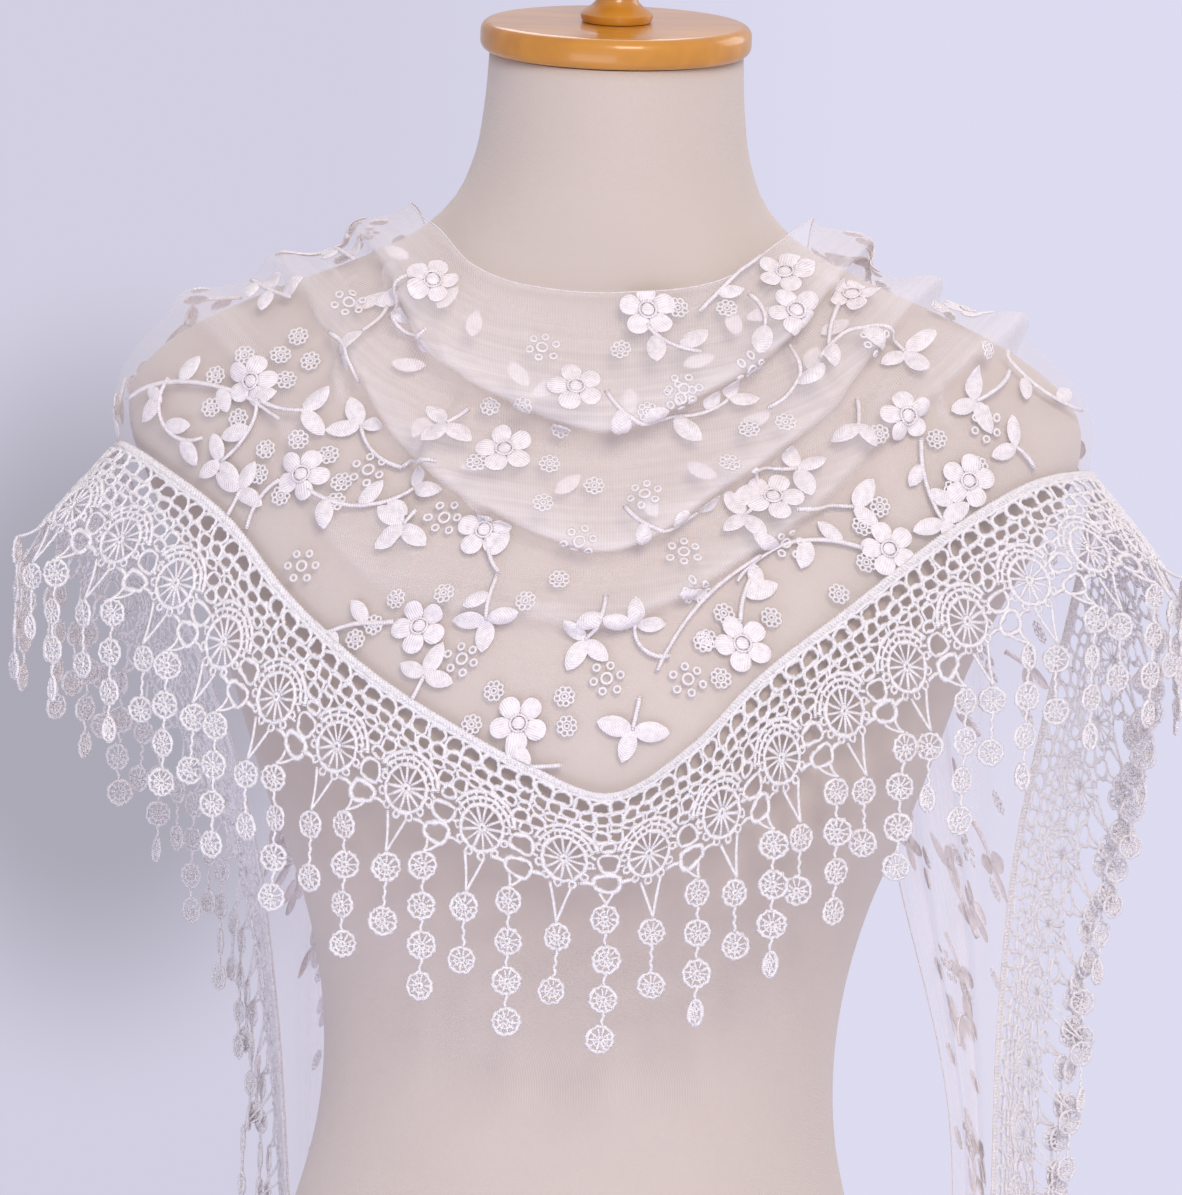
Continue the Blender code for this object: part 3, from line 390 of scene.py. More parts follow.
@dataclass(frozen=True)
class FormShape:
    """The dress form's outline, and how cloth is kept clear of it."""

    waist: float = 0.410
    push_rounds: int = 5
    softness: float = 0.0008
    probe: float = 1e-4

    def size(self, height: Array) -> list[Array]:
        """Half width, front depth and back depth at a height above the floor."""
        rings = np.array(FORM_RINGS)
        return [through(rings[:, 0], rings[:, k], height - self.waist) for k in (1, 2, 3)]

    def level(self, points: Array) -> Array:
        """Tells the inside of the form from its outside.

        Args:
            points: the points, in metres.

        Returns:
            Below 0 inside the form, 0 on it and above 0 outside.
        """
        half_width, front, back = self.size(points[..., 2])
        depth = np.where(points[..., 1] < 0, front, back)
        return np.sqrt((points[..., 0] / half_width) ** 2 + (points[..., 1] / depth) ** 2) - 1

    def distance(self, points: Array) -> tuple[Array, Array]:
        """How far points are from the form.

        Args:
            points: the points, in metres.

        Returns:
            Each point's distance outside the form, and the way out.
        """
        slopes = [(self.level(points + axis) - self.level(points - axis)) / (2 * self.probe)
                  for axis in np.eye(3) * self.probe]
        gradient = np.stack(slopes, -1)
        size = np.linalg.norm(gradient, axis=-1)
        return self.level(points) / size, gradient / size[..., None]

    def push_out(self, points: Array, clearance: Array) -> Array:
        """Moves points out of the form.

        Args:
            points: the points, in metres.
            clearance: how far off the form they stay.

        Returns:
            The moved points.
        """
        for _ in range(self.push_rounds):
            distance, way = self.distance(points)
            need = clearance - distance
            push = 0.5 * (need + np.sqrt(need**2 + self.softness**2))
            points = points + way * push[..., None]
        return points


@dataclass
class Drape:
    """The veil's middle surface: a grid for the net, and one for the border that goes on from its seam."""

    form: FormShape
    stations: int = 801
    rows: int = 161
    border_rows: int = 17
    border_depth: float = 0.0425
    border_droop: float = 0.10
    border_end: float = 0.992
    repeats_per_side: int = 24
    pitch: float = 0.0334
    front_clearance: float = 0.0010
    tail_clearance: float = 0.0060
    tail_start: float = 0.30
    tail_blend: float = 0.12
    # How far round each fold the net is whitened: partly denser gathered net, partly a painted highlight on
    # the fold.
    gathered_above: float = 1.9
    gathered_below: float = 0.42
    gathered_fade: float = 0.34
    full_fold: float = 0.013
    wrinkle_density_and_highlight: float = 0.55
    probe: float = 0.006
    least_metric: float = 0.12

    def __post_init__(self) -> None:
        """Works out both grids, their normals and their lengths."""
        self.at = np.linspace(-1, 1, self.stations)
        behind = np.clip((np.abs(self.at) - self.tail_start) / self.tail_blend, 0, 1)
        more = self.tail_clearance - self.front_clearance
        self.clearance = (self.front_clearance + more * behind)[:, None]
        self.across = np.linspace(0, 1, self.rows)
        seam, edge, hang = (self.rail(column) for column in (1, 2, 3))
        seam[:, 2] += self.form.waist
        edge[:, 2] += self.form.waist
        self.fold_density_and_highlight = np.zeros((self.stations, self.rows))
        self.net = self.folded_net(edge, seam)
        self.net_normals = grid_normals(self.net)
        self.border = self.hanging_border(unit(hang))
        self.border_normals = grid_normals(self.border)
        shared = unit(self.net_normals[:, -1] + self.border_normals[:, 0])
        self.net_normals[:, -1] = shared
        self.border_normals[:, 0] = shared
        self.reach = lengths(self.net, 1)
        self.wrinkle()
        length = lengths(self.border[:, self.border_rows * 5 // 8])
        self.border_length = length - length[self.stations // 2]

    def station(self, at: Array | float) -> Array | float:
        """The number of the station at a place along the veil, between whole ones too."""
        return (at + 1) / 2 * (self.stations - 1)

    def off_edges(self, edge: float, seam: float) -> Array:
        """1 over the net, falling to 0 over a share of its depth at its plain edge and at its seam."""
        return np.clip(self.across / edge, 0, 1) * np.clip((1 - self.across) / seam, 0, 1)

    def wrinkle(self) -> None:
        """Adds the fine wrinkles to the net, short of its two edges."""
        along = lengths(self.net, 0)
        lift = np.zeros_like(self.reach)
        for at, reach, to_at, to_reach, half_width, height in WRINKLES:
            first, last = (int(round(self.station(place))) for place in (at, to_at))
            row = int(np.searchsorted(self.reach[first], reach))
            way = np.array([along[last, row] - along[first, row], to_reach - reach])
            x, y = along - along[first], self.reach - reach
            share = np.clip((x * way[0] + y * way[1]) / (way @ way), 0, 1)
            aside = np.hypot(x - share * way[0], y - share * way[1]) / half_width
            bump = np.cos(np.clip(aside, 0, 1) * math.pi / 2) ** 2 * np.sin(math.pi * (0.12 + 0.76 * share))
            lift = np.maximum(lift, height * bump)
            # Whiter net along each wrinkle: partly denser net, partly a painted highlight.
            self.fold_density_and_highlight = np.maximum(self.fold_density_and_highlight, self.wrinkle_density_and_highlight * bump)
        lift *= self.off_edges(0.05, 0.06)
        self.net = self.form.push_out(self.net + self.net_normals * lift[..., None], self.clearance)
        self.net_normals[:, 1:-1] = grid_normals(self.net)[:, 1:-1]

    def rail(self, column: int) -> Array:
        """Reads one rail of the drape.

        Args:
            column: its column in the table of stations.

        Returns:
            A point or a direction for each station.
        """
        knots = [station[0] for station in STATIONS]
        values = np.array([station[column] for station in STATIONS])
        return np.stack([through(knots, values[:, axis], self.at) for axis in range(3)], -1)

    def folded_net(self, edge: Array, seam: Array) -> Array:
        """Lays the net from its edge to its seam, with its folds and creases.

        Args:
            edge: the plain long edge, a point for each station.
            seam: where the border is sewn on, a point for each station.

        Returns:
            The grid of points.
        """
        share = self.across[None, :, None]
        base = self.form.push_out(edge[:, None] * (1 - share) + seam[:, None] * share, self.clearance)
        down = unit(np.gradient(base, axis=1))
        reach = lengths(base, 1)
        total = reach[:, -1:]
        lift, sag = np.zeros_like(reach), np.zeros_like(reach)
        for places in FOLDS.values():
            knots = [p.at for p in places]
            across, half_width, height, sagging = (
                through(knots, [p[k] for p in places], self.at)[:, None] for k in (1, 2, 3, 4))
            narrow = np.minimum(half_width, 0.25 * total + 0.001)
            aside = (reach - across * total) / narrow
            bump = np.cos(np.clip(aside, -1, 1) * math.pi / 2) ** 2
            lift += height * narrow / half_width * bump
            sag += sagging * narrow / half_width * bump
            above = np.clip((aside + self.gathered_above) / self.gathered_above, 0, 1)
            above *= np.clip((self.gathered_below - aside) / self.gathered_fade, 0, 1)
            # The net round the fold is whitened, partly for its gathered density and partly as a painted
            # highlight.
            gathered = above**1.3 * np.clip(height / self.full_fold, 0, 1.1)
            self.fold_density_and_highlight = np.maximum(self.fold_density_and_highlight, gathered)
        for at, half_length, height, start, end in CREASES:
            beside = np.clip((self.at[:, None] - at) / half_length, -1, 1)
            along = np.clip((self.across[None, :] - start) / (end - start), 0, 1)
            lift += height * np.cos(beside * math.pi / 2) ** 2 * np.sin(along * math.pi)
        ends = self.off_edges(0.06, 0.10)
        ends = ends * ends * (3 - 2 * ends)
        folded = base + grid_normals(base) * (lift * ends)[..., None] + down * (sag * ends)[..., None]
        return self.form.push_out(folded, self.clearance)

    def hanging_border(self, hang: Array) -> Array:
        """Hangs the border from the seam.

        Args:
            hang: the way it hangs at each station, at length one.

        Returns:
            The border's grid of points.
        """
        depths = np.linspace(0, 1, self.border_rows)
        squeeze = through(*zip(*POINT_SQUEEZE), np.abs(self.at))
        depth = (squeeze[:, None] * depths[None, :] * self.border_depth)[..., None]
        droop = self.border_droop * DOWN * (depths**2 * self.border_depth)[None, :, None]
        return self.form.push_out(self.net[:, -1][:, None] + hang[:, None] * depth + droop, self.clearance)

    @staticmethod
    def read(grids: Iterable[Array], i: Array, j: Array) -> tuple[Array, Array]:
        """Reads points and normals between the points of two grids.

        Args:
            grids: the grid of points and the grid of normals.
            i: places along, in grid steps.
            j: places across, in grid steps, past the last row too.

        Returns:
            The points and their unit normals.
        """
        points, normals = grids
        low_i = np.clip(i.astype(int), 0, points.shape[0] - 2)
        low_j = np.clip(j.astype(int), 0, points.shape[1] - 2)
        u, v = (i - low_i)[:, None], (j - low_j)[:, None]
        found = []
        for grid in (points, normals):
            near = grid[low_i, low_j] * (1 - v) + grid[low_i, low_j + 1] * v
            far = grid[low_i + 1, low_j] * (1 - v) + grid[low_i + 1, low_j + 1] * v
            found.append(near * (1 - u) + far * u)
        return found[0], unit(found[1])

    def net_surface(self, at: Array, reach: Array) -> tuple[Array, Array]:
        """The net at stations and at distances from its plain edge.

        Args:
            at: stations, from -1 to 1.
            reach: metres from the plain edge, over the folds.

        Returns:
            The points and their unit normals.
        """
        i = np.clip(self.station(at), 0, self.stations - 1)
        low = np.minimum(i.astype(int), self.stations - 2)
        u = (i - low)[:, None]
        rows = self.reach[low] * (1 - u) + self.reach[low + 1] * u
        reach = np.clip(reach, 0, rows[:, -1])
        j = np.clip((rows < reach[:, None]).sum(1) - 1, 0, self.rows - 2)
        k = np.arange(len(j))
        v = (reach - rows[k, j]) / np.maximum(rows[k, j + 1] - rows[k, j], 1e-9)
        return self.read((self.net, self.net_normals), i, j + v)

    def metric(self, at: float, reach: float) -> float:
        """Metres along the net for each whole station, at one place."""
        points, _ = self.net_surface(np.array([at - self.probe, at + self.probe]), np.full(2, reach))
        return max(float(np.linalg.norm(points[1] - points[0])) / (2 * self.probe), self.least_metric)

    def patch(self, at: float, reach: float) -> Surface:
        """The net round one place, as a surface in metres along and towards the plain edge."""
        metric = self.metric(at, reach)
        return lambda x, y: self.net_surface(at + x / metric, reach - y)

    def walk(self, sprig: Sprig, steps: int) -> Array:
        """Follows a curved stem over the net.

        Args:
            sprig: the stem.
            steps: how many steps it takes.

        Returns:
            Station, reach and heading in radians at each point.
        """
        at, reach, turn = sprig.at, sprig.reach, math.radians(sprig.turn)
        found = [(at, reach, turn)]
        for _ in range(steps):
            metric = self.metric(at, reach)
            at += math.cos(turn) * sprig.length / steps / metric
            reach -= math.sin(turn) * sprig.length / steps
            turn += math.radians(sprig.bend) / steps
            found.append((at, reach, turn))
        return np.array(found)

    def border_surface(self, length: Array, depth: Array) -> tuple[Array, Array]:
        """The border at lengths along it from the V's point and at depths from the seam.

        Args:
            length: metres along, to the right of the point above 0.
            depth: metres from the seam, past the free edge too.

        Returns:
            The points and their unit normals.
        """
        side = np.where(length > 0, self.border_length[-1], -self.border_length[0])
        stretch = side * self.border_end / (self.repeats_per_side * self.pitch)
        i = np.interp(length * stretch, self.border_length, np.arange(self.stations))
        j = depth / self.border_depth * (self.border_rows - 1)
        return self.read((self.border, self.border_normals), i, j)

    def border_at(self, length: float, depth: float) -> tuple[Array, Array]:
        """One point and normal of the border."""
        points, normals = self.border_surface(np.array([length]), np.array([depth]))
        return points[0], normals[0]


class Gathering:
    """Points, how far along their threads they lie, and the faces between them."""

    def __init__(self) -> None:
        """Starts empty."""
        self.points: list[Array] = []
        self.alongs: list[Array] = []
        self.faces: Faces = []
        self.count = 0

    def add(self, points: Array, along: Array, faces: Faces) -> None:
        """Adds points and the faces between them.

        Args:
            points: the points, in space, or flat with their height above the cloth.
            along: how far along its thread each point lies, in metres.
            faces: point numbers, counted from the first of these points.
        """
        self.points.append(points)
        self.alongs.append(along)
        self.faces += [tuple(self.count + i for i in face) for face in faces]
        self.count += len(points)

    def arrays(self) -> tuple[Array, Array]:
        """All the points, and how far along their threads they lie."""
        return np.concatenate(self.points), np.concatenate(self.alongs)


class Layout(Gathering):
    """Cords, leaves and petals drawn flat, each point with its height above the cloth."""

    CORNERS = 4
    KNOTTED = (0.70, 1.36)
    STRAY = 0.00020
    DOME_SHARES = (1.0, 0.9, 0.5)
    LEAF_ROWS = 9
    LEAF_ACROSS = (-1.0, -0.62, 0.0, 0.62, 1.0)
    LEAF_RISE = (0.0, 0.92, 0.62, 0.92, 0.0)

    def __init__(self, rng: np.random.Generator | None = None) -> None:
        """Starts empty; with a source of chance, its cords come out a little knotted."""
        super().__init__()
        self.rng = rng

    def cord(self, path: Array, half_width: float | Array, lift: float | Array = 0.0,
             closed: bool = False) -> None:
        """Lays a cord along a flat path.

        Args:
            path: its points, x and y.
            half_width: half its width, the same all along or one for each point.
            lift: how high its centre lies above the cloth.
            closed: whether it ends where it starts.
        """
        path = np.asarray(path, float)
        count = len(path)
        way = unit(np.roll(path, -1, 0) - np.roll(path, 1, 0) if closed else np.gradient(path, axis=0))
        aside = np.stack([-way[:, 1], way[:, 0]], 1)
        wide = np.broadcast_to(np.asarray(half_width, float), count)
        if self.rng is not None:
            wide = wide * self.rng.uniform(*self.KNOTTED, count)
            path = path + self.rng.uniform(-self.STRAY, self.STRAY, path.shape)
        lift = np.broadcast_to(np.asarray(lift, float), count)
        if closed:
            path, aside = np.vstack([path, path[:1]]), np.vstack([aside, aside[:1]])
            wide, lift = np.append(wide, wide[0]), np.append(lift, lift[0])
            count += 1
        cos, sin = circle(self.CORNERS).T
        flat = np.empty((count, self.CORNERS, 3))
        flat[..., :2] = path[:, None] + aside[:, None] * (wide[:, None] * cos)[..., None]
        flat[..., 2] = lift[:, None] + wide[:, None] * sin
        along = np.repeat(lengths(path), self.CORNERS)
        self.add(flat.reshape(-1, 3), along, tube_faces(count, self.CORNERS, not closed))

    def ring(self, x: float, y: float, radius: float, half_width: float, points: int,
             lift: float = 0.0, squash: float = 1.0, lobes: int = 0, lobe: float = 0.0) -> None:
        """Lays a closed round cord.

        Args:
            x: its middle.
            y: its middle.
            radius: its radius across x.
            half_width: half the cord's width.
            points: how many points it has.
            lift: how high it lies.
            squash: its height over its width.
            lobes: how many waves it has.
            lobe: how far the waves stand out.
        """
        turn = np.arange(points) * math.tau / points
        r = radius + lobe * np.cos(turn * lobes)
        path = np.stack([x + r * np.cos(turn), y + r * squash * np.sin(turn)], 1)
        self.cord(path, half_width, lift, closed=True)

    def dome(self, outline: Array, centre: Array, height: float, lift: float, turn: float = 0.0) -> None:
        """Raises a rounded patch of straight stitches from an outline.

        Args:
            outline: its rim, x and y of each point.
            centre: its middle.
            height: how far it rises.
            lift: how high its rim lies.
            turn: the way its stitches run, in radians.
        """
        count = len(outline)
        rings = [np.column_stack([centre + (outline - centre) * share,
                                  np.full(count, lift + height * math.sqrt(1 - share**4))])
                 for share in self.DOME_SHARES]
        flat = np.vstack(rings + [[*centre, lift + height]])
        last = (len(rings) - 1) * count
        faces = grid_faces(len(rings), count, closed=True)
        faces += [(last + k, last + (k + 1) % count, last + count) for k in range(count)]
        across = np.array([-math.sin(turn), math.cos(turn)])
        self.add(flat, (flat[:, :2] - centre) @ across, faces)

    def leaf(self, turn: float, length: float, width: float, height: float, lift: float) -> None:
        """Lays a pointed satin leaf from its foot, with a shallow groove down its middle.

        Args:
            turn: the way it points, in radians.
            length: its length.
            width: its greatest width.
            height: how far it rises.
            lift: how high its rim lies.
        """
        t = np.linspace(0, 1, self.LEAF_ROWS)[:, None]
        s, rise = np.array([self.LEAF_ACROSS]), np.array([self.LEAF_RISE])
        wide = width / 2 * np.maximum(np.sin(math.pi * t**0.92) ** 0.62, 0.05)
        u, v = t * length + 0 * s, s * wide
        flat = np.stack([u * math.cos(turn) - v * math.sin(turn), u * math.sin(turn) + v * math.cos(turn),
                         lift + height * rise * np.sin(math.pi * t) ** 0.4], -1).reshape(-1, 3)
        along = (t * length + np.abs(v) * 0.7).reshape(-1)
        self.add(flat, along, grid_faces(self.LEAF_ROWS, len(self.LEAF_ACROSS)))


class Needlework(Gathering):
    """Threads and patches laid on surfaces, gathered into one mesh."""

    CORNERS = 4
    AROUND = (0.0, 0.001, 0.002, 0.003)

    def lay(self, layout: Layout, surface: Surface) -> None:
        """Lays a flat drawing on a surface.

        Args:
            layout: the drawing.
            surface: gives points and normals for its x and y.
        """
        flat, along = layout.arrays()
        points, normals = surface(flat[:, 0], flat[:, 1])
        self.add(points + normals * flat[:, 2:], along, layout.faces)

    def thread(self, path: Array, outward: Array, half: float | Array, flatness: float = 1.0) -> None:
        """Runs a round thread through points in space.

        Args:
            path: the points.
            outward: a direction across it, one or one for each point.
            half: half its width, one or one for each point.
            flatness: its thickness over its width.
        """
        way = unit(np.gradient(path, axis=0))
        aside = unit(np.cross(way, outward))
        up = np.cross(aside, way)
        half = np.broadcast_to(np.asarray(half, float), len(path))[:, None]
        rings = [path + (aside * cos + up * sin * flatness) * half for cos, sin in circle(self.CORNERS)]
        along = np.repeat(lengths(path), self.CORNERS)
        self.add(np.stack(rings, 1).reshape(-1, 3), along, tube_faces(len(path), self.CORNERS))

    def build(self, name: str, finish: Material, slot: str) -> Object:
        """Makes the mesh object.

        Args:
            name: the piece's name.
            finish: its material.
            slot: not used.

        Returns:
            The new object.
        """
        points, along = self.arrays()
        uv = np.stack([along, np.resize(self.AROUND, len(along))], 1)
        made = add_mesh(name, points, self.faces, finish, uv)
        return made


class NodeTree:
    """Short calls for building a node tree."""

    def __init__(self, tree: Tree) -> None:
        """Keeps the tree."""
        self.tree = tree

    def connect(self, node: Node, inputs: dict) -> None:
        """Sets a node's inputs to values, or links them to sockets.

        Args:
            node: the node.
            inputs: a value or a socket for each input, by name or number.
        """
        for key, value in inputs.items():
            if isinstance(value, Socket):
                self.tree.links.new(value, node.inputs[key])
            else:
                node.inputs[key].default_value = value

    def node(self, kind: str, inputs: dict | None = None, **settings: object) -> Node:
        """Adds a node.

        Args:
            kind: the node's type, without its common start.
            inputs: values or sockets for its inputs, by name or number.
            **settings: its own settings.

        Returns:
            The new node.
        """
        made = self.tree.nodes.new(kind if kind.startswith("NodeGroup") else "ShaderNode" + kind)
        for key, value in settings.items():
            setattr(made, key, value)
        self.connect(made, inputs or {})
        return made

    def math(self, operation: str, *values: object) -> Socket:
        """One sum on sockets or numbers."""
        return self.node("Math", dict(enumerate(values)), operation=operation).outputs[0]

    def mix(self, share: object, first: object, second: object) -> Socket:
        """A colour between two colours."""
        return self.node("Mix", {0: share, 6: first, 7: second}, data_type="RGBA").outputs[2]

    def shade(self, share: Socket, dark: Colour, light: Colour) -> Socket:
        """A colour between two colours, its share kept from 0 to 1."""
        return self.mix(self.node("Clamp", {0: share}).outputs[0], dark, light)

    def place(self, kind: str) -> Socket:
        """A point's place on the piece, by its texture coordinates or in its own frame."""
        return self.node("TexCoord").outputs[kind]

    def ramp(self, value: Socket, start: float, end: float, first: float, last: float,
             **settings: object) -> Socket:
        """A value that goes from first to last while another goes from start to end."""
        return self.node("MapRange", {0: value, 1: start, 2: end, 3: first, 4: last}, **settings).outputs[0]

    def vector(self, operation: str, output: str, *values: object) -> Socket:
        """One sum on vectors."""
        return self.node("VectorMath", dict(enumerate(values)), operation=operation).outputs[output]

    def bump(self, strength: float, distance: float, height: Socket) -> Socket:
        """The normal of a surface with a height."""
        values = {"Strength": strength, "Distance": distance, "Height": height}
        return self.node("Bump", values).outputs["Normal"]

    def group(self, tree: Tree, inputs: dict) -> Node:
        """Places a shared group.

        Args:
            tree: the group.
            inputs: values or sockets for its inputs.

        Returns:
            The new node.
        """
        made = self.tree.nodes.new("ShaderNodeGroup")
        made.node_tree = tree
        self.connect(made, inputs)
        return made


class Effects:
    """Effects that several finishes share, each a node group built once."""

    def __init__(self) -> None:
        """Builds the groups."""
        self.ribs = self.ribbed_thread()
        self.mottle = self.soft_mottle()
        self.mesh = self.open_mesh()

    @staticmethod
    def start(name: str, inputs: dict[str, float | None],
              outputs: Sequence[str]) -> tuple[NodeTree, Node, Node]:
        """Starts a group with named sockets.

        Args:
            name: the group's name.
            inputs: each input's name and usual value, or None for a vector.
            outputs: names of its value outputs.

        Returns:
            The tree's builder, and its input and output nodes.
        """
        tree = bpy.data.node_groups.new(name, "ShaderNodeTree")
        for label, usual in inputs.items():
            kind = "NodeSocketVector" if usual is None else "NodeSocketFloat"
            made = tree.interface.new_socket(name=label, in_out="INPUT", socket_type=kind)
            if usual is not None:
                made.default_value = usual
        for label in outputs:
            tree.interface.new_socket(name=label, in_out="OUTPUT", socket_type="NodeSocketFloat")
        kit = NodeTree(tree)
        return kit, kit.node("NodeGroupInput"), kit.node("NodeGroupOutput")

    @staticmethod
    def wave(kit: NodeTree, along: Socket, spacing: Socket) -> Socket:
        """An even wave from 0 to 1 along one coordinate."""
        turn = kit.math("MULTIPLY", kit.math("DIVIDE", along, spacing), math.tau)
        return kit.math("MULTIPLY_ADD", kit.math("SINE", turn), 0.5, 0.5)

    def ribbed_thread(self) -> Tree:
        """Builds turns of thread side by side, as a height and a painted shade that is darker between the
        turns.

        Returns:
            The group's tree.
        """
        kit, given, result = self.start("ribbed_thread", {"Vector": None, "Spacing": 0.0006},
                                        ["Height", "Shade"])
        along = kit.node("SeparateXYZ", {0: given.outputs["Vector"]}).outputs["X"]
        height = self.wave(kit, along, given.outputs["Spacing"])
        kit.connect(result, {"Height": height, "Shade": kit.math("POWER", height, 0.5)})
        return kit.tree

    def soft_mottle(self) -> Tree:
        """Builds slow uneven change, from -1 to 1.

        Returns:
            The group's tree.
        """
        kit, given, result = self.start("soft_mottle", {"Vector": None, "Scale": 8.0, "Detail": 3.0},
                                        ["Change"])
        noise = kit.node("TexNoise", {key: given.outputs[key] for key in ("Vector", "Scale", "Detail")})
        kit.connect(result, {"Change": kit.math("MULTIPLY_ADD", noise.outputs["Fac"], 2.0, -1.0)})
        return kit.tree

    def open_mesh(self) -> Tree:
        """Builds a fine knitted mesh: upright ribs and fainter cross threads, as a mask.

        Returns:
            The group's tree.
        """
        kit, given, result = self.start("open_mesh", {"Vector": None, "Rib": 0.0011, "Cross": 0.0008},
                                        ["Ribs", "Crosses"])
        split = kit.node("SeparateXYZ", {0: given.outputs["Vector"]})
        for axis, spacing, out in (("X", "Rib", "Ribs"), ("Y", "Cross", "Crosses")):
            wave = self.wave(kit, split.outputs[axis], given.outputs[spacing])
            kit.connect(result, {out: kit.math("POWER", wave, 2.0)})
        return kit.tree

    def change(self, kit: NodeTree, where: Socket, scale: float, detail: float) -> Socket:
        """Places the slow uneven change in a material."""
        placed = kit.group(self.mottle, {"Vector": where, "Scale": scale, "Detail": detail})
        return placed.outputs["Change"]


def new_material(name: str) -> tuple[Material, NodeTree, Node]:
    """Starts a material.

    Args:
        name: its name.

    Returns:
        The material, its tree's builder and its Principled shader.
    """
    made = bpy.data.materials.new(name)
    made.use_nodes = True
    return made, NodeTree(made.node_tree), made.node_tree.nodes["Principled BSDF"]


@dataclass(frozen=True)
class ThreadFinish:
    """Cotton or rayon thread laid close, turn beside turn."""

    name: str
    light: Colour
    dark: Colour
    roughness: float = 0.5
    sheen: float = 0.3
    spacing: float = 0.0006
    bump: float = 0.6
    grain: float = 160.0
    knots: float = 0.2
    depth: float = 0.00013

    def build(self, effects: Effects) -> Material:
        """Makes the material.

        Args:
            effects: the shared groups.

        Returns:
            The material.
        """
        made, kit, shader = new_material(self.name)
        ribs = kit.group(effects.ribs, {"Vector": kit.place("UV"), "Spacing": self.spacing})
        mottle = effects.change(kit, kit.place("Object"), self.grain, 3.0)
        # Painted shade: the thread is darker between its turns.
        rib_shade = kit.math("MULTIPLY_ADD", ribs.outputs["Shade"], 0.45, 0.5)
        share = kit.math("MULTIPLY_ADD", mottle, 0.35 + self.knots, rib_shade)
        height = kit.math("MULTIPLY_ADD", mottle, self.knots, ribs.outputs["Height"])
        kit.connect(shader, {
            "Base Color": kit.shade(share, self.dark, self.light), "Roughness": self.roughness,
            "Sheen Weight": self.sheen, "Sheen Roughness": 0.5, "Specular IOR Level": 0.4,
            "Normal": kit.bump(self.bump, self.depth, height)})
        return made


SATIN = ThreadFinish("satin_thread", light=(0.975, 0.905, 0.915, 1), dark=(0.68, 0.61, 0.62, 1),
                     roughness=0.42, spacing=0.0011, bump=0.8, grain=420.0, knots=0.4, depth=0.00025)
OPENWORK = ThreadFinish("openwork_thread", light=(0.96, 0.905, 0.915, 1), dark=(0.76, 0.71, 0.72, 1))
GUIPURE = ThreadFinish("guipure_thread", light=(1.0, 0.955, 0.965, 1), dark=(0.76, 0.715, 0.725, 1),
                       sheen=0.35, spacing=0.0009, bump=0.8, grain=620.0, knots=0.8, depth=0.00025)


@dataclass(frozen=True)
class NetFinish:
    """Sheer knitted net, nearly clear where it lies flat and whiter along its folds and wrinkles, partly as
    denser gathered net and partly as a painted highlight.
    """

    name: str = "sheer_net"
    colour: Colour = (0.95, 0.89, 0.905, 1.0)
    clear: float = 0.118
    rib: float = 0.05
    cross: float = 0.03
    rib_spacing: float = 0.0012
    cross_spacing: float = 0.0009
    # Extra whiteness on folds: partly denser gathered net, partly a painted highlight.
    gathered: float = 0.36
    streaked: float = 0.6
    streak_scale: Triple = (11.0, 300.0, 1.0)
    light_let_through: float = 0.40

    def build(self, effects: Effects) -> Material:
        """Makes the material.

        Args:
            effects: the shared groups.

        Returns:
            The material.
        """
        made, kit, shader = new_material(self.name)
        uv = kit.place("UV")
        mesh = kit.group(effects.mesh, {"Vector": uv, "Rib": self.rib_spacing, "Cross": self.cross_spacing})
        # The fold attribute raises the net's whiteness: partly denser gathered net, partly a painted
        # highlight.
        fold = kit.node("Attribute", attribute_name="fold").outputs["Fac"]
        alpha = kit.math("MULTIPLY_ADD", mesh.outputs["Ribs"], self.rib, self.clear)
        alpha = kit.math("MULTIPLY_ADD", mesh.outputs["Crosses"], self.cross, alpha)
        along = kit.node("Mapping", {"Vector": uv, "Scale": self.streak_scale}).outputs[0]
        streaks = kit.math("MULTIPLY_ADD", effects.change(kit, along, 1.0, 3.0), self.streaked, 1.0)
        alpha = kit.math("MULTIPLY_ADD", kit.math("MULTIPLY", fold, streaks), self.gathered, alpha)
        shadow = kit.node("LightPath").outputs["Is Shadow Ray"]
        alpha = kit.math("MULTIPLY", alpha, kit.math("MULTIPLY_ADD", shadow, -self.light_let_through, 1.0))
        kit.connect(shader, {
            "Base Color": self.colour, "Roughness": 0.7, "Alpha": alpha, "Sheen Weight": 0.4,
            "Normal": kit.bump(0.3, 0.0002, mesh.outputs["Ribs"])})
        return made


@dataclass(frozen=True)
class JerseyFinish:
    """Fine cotton jersey, pulled tight over padding."""

    name: str = "cream_jersey"
    light: Colour = (0.640, 0.551, 0.496, 1.0)
    dark: Colour = (0.577, 0.484, 0.430, 1.0)
    rib_spacing: float = 0.0011
    cross_spacing: float = 0.0008

    def build(self, effects: Effects) -> Material:
        """Makes the material.

        Args:
            effects: the shared groups.

        Returns:
            The material.
        """
        made, kit, shader = new_material(self.name)
        slow = effects.change(kit, kit.place("Object"), 9.0, 4.0)
        knit = kit.group(effects.mesh, {"Vector": kit.place("UV"), "Rib": self.rib_spacing,
                                        "Cross": self.cross_spacing})
        share = kit.math("MULTIPLY_ADD", slow, 0.6, 0.6)
        # Painted shade: the knit is darker between its ribs.
        share = kit.math("MULTIPLY_ADD", knit.outputs["Ribs"], 0.18, share)
        height = kit.math("ADD", knit.outputs["Ribs"], kit.math("MULTIPLY", knit.outputs["Crosses"], 0.5))
        kit.connect(shader, {
            "Base Color": kit.shade(share, self.dark, self.light), "Roughness": 0.85,
            "Sheen Weight": 0.25, "Sheen Roughness": 0.6, "Specular IOR Level": 0.25,
            "Normal": kit.bump(0.25, 0.0003, height)})
        return made


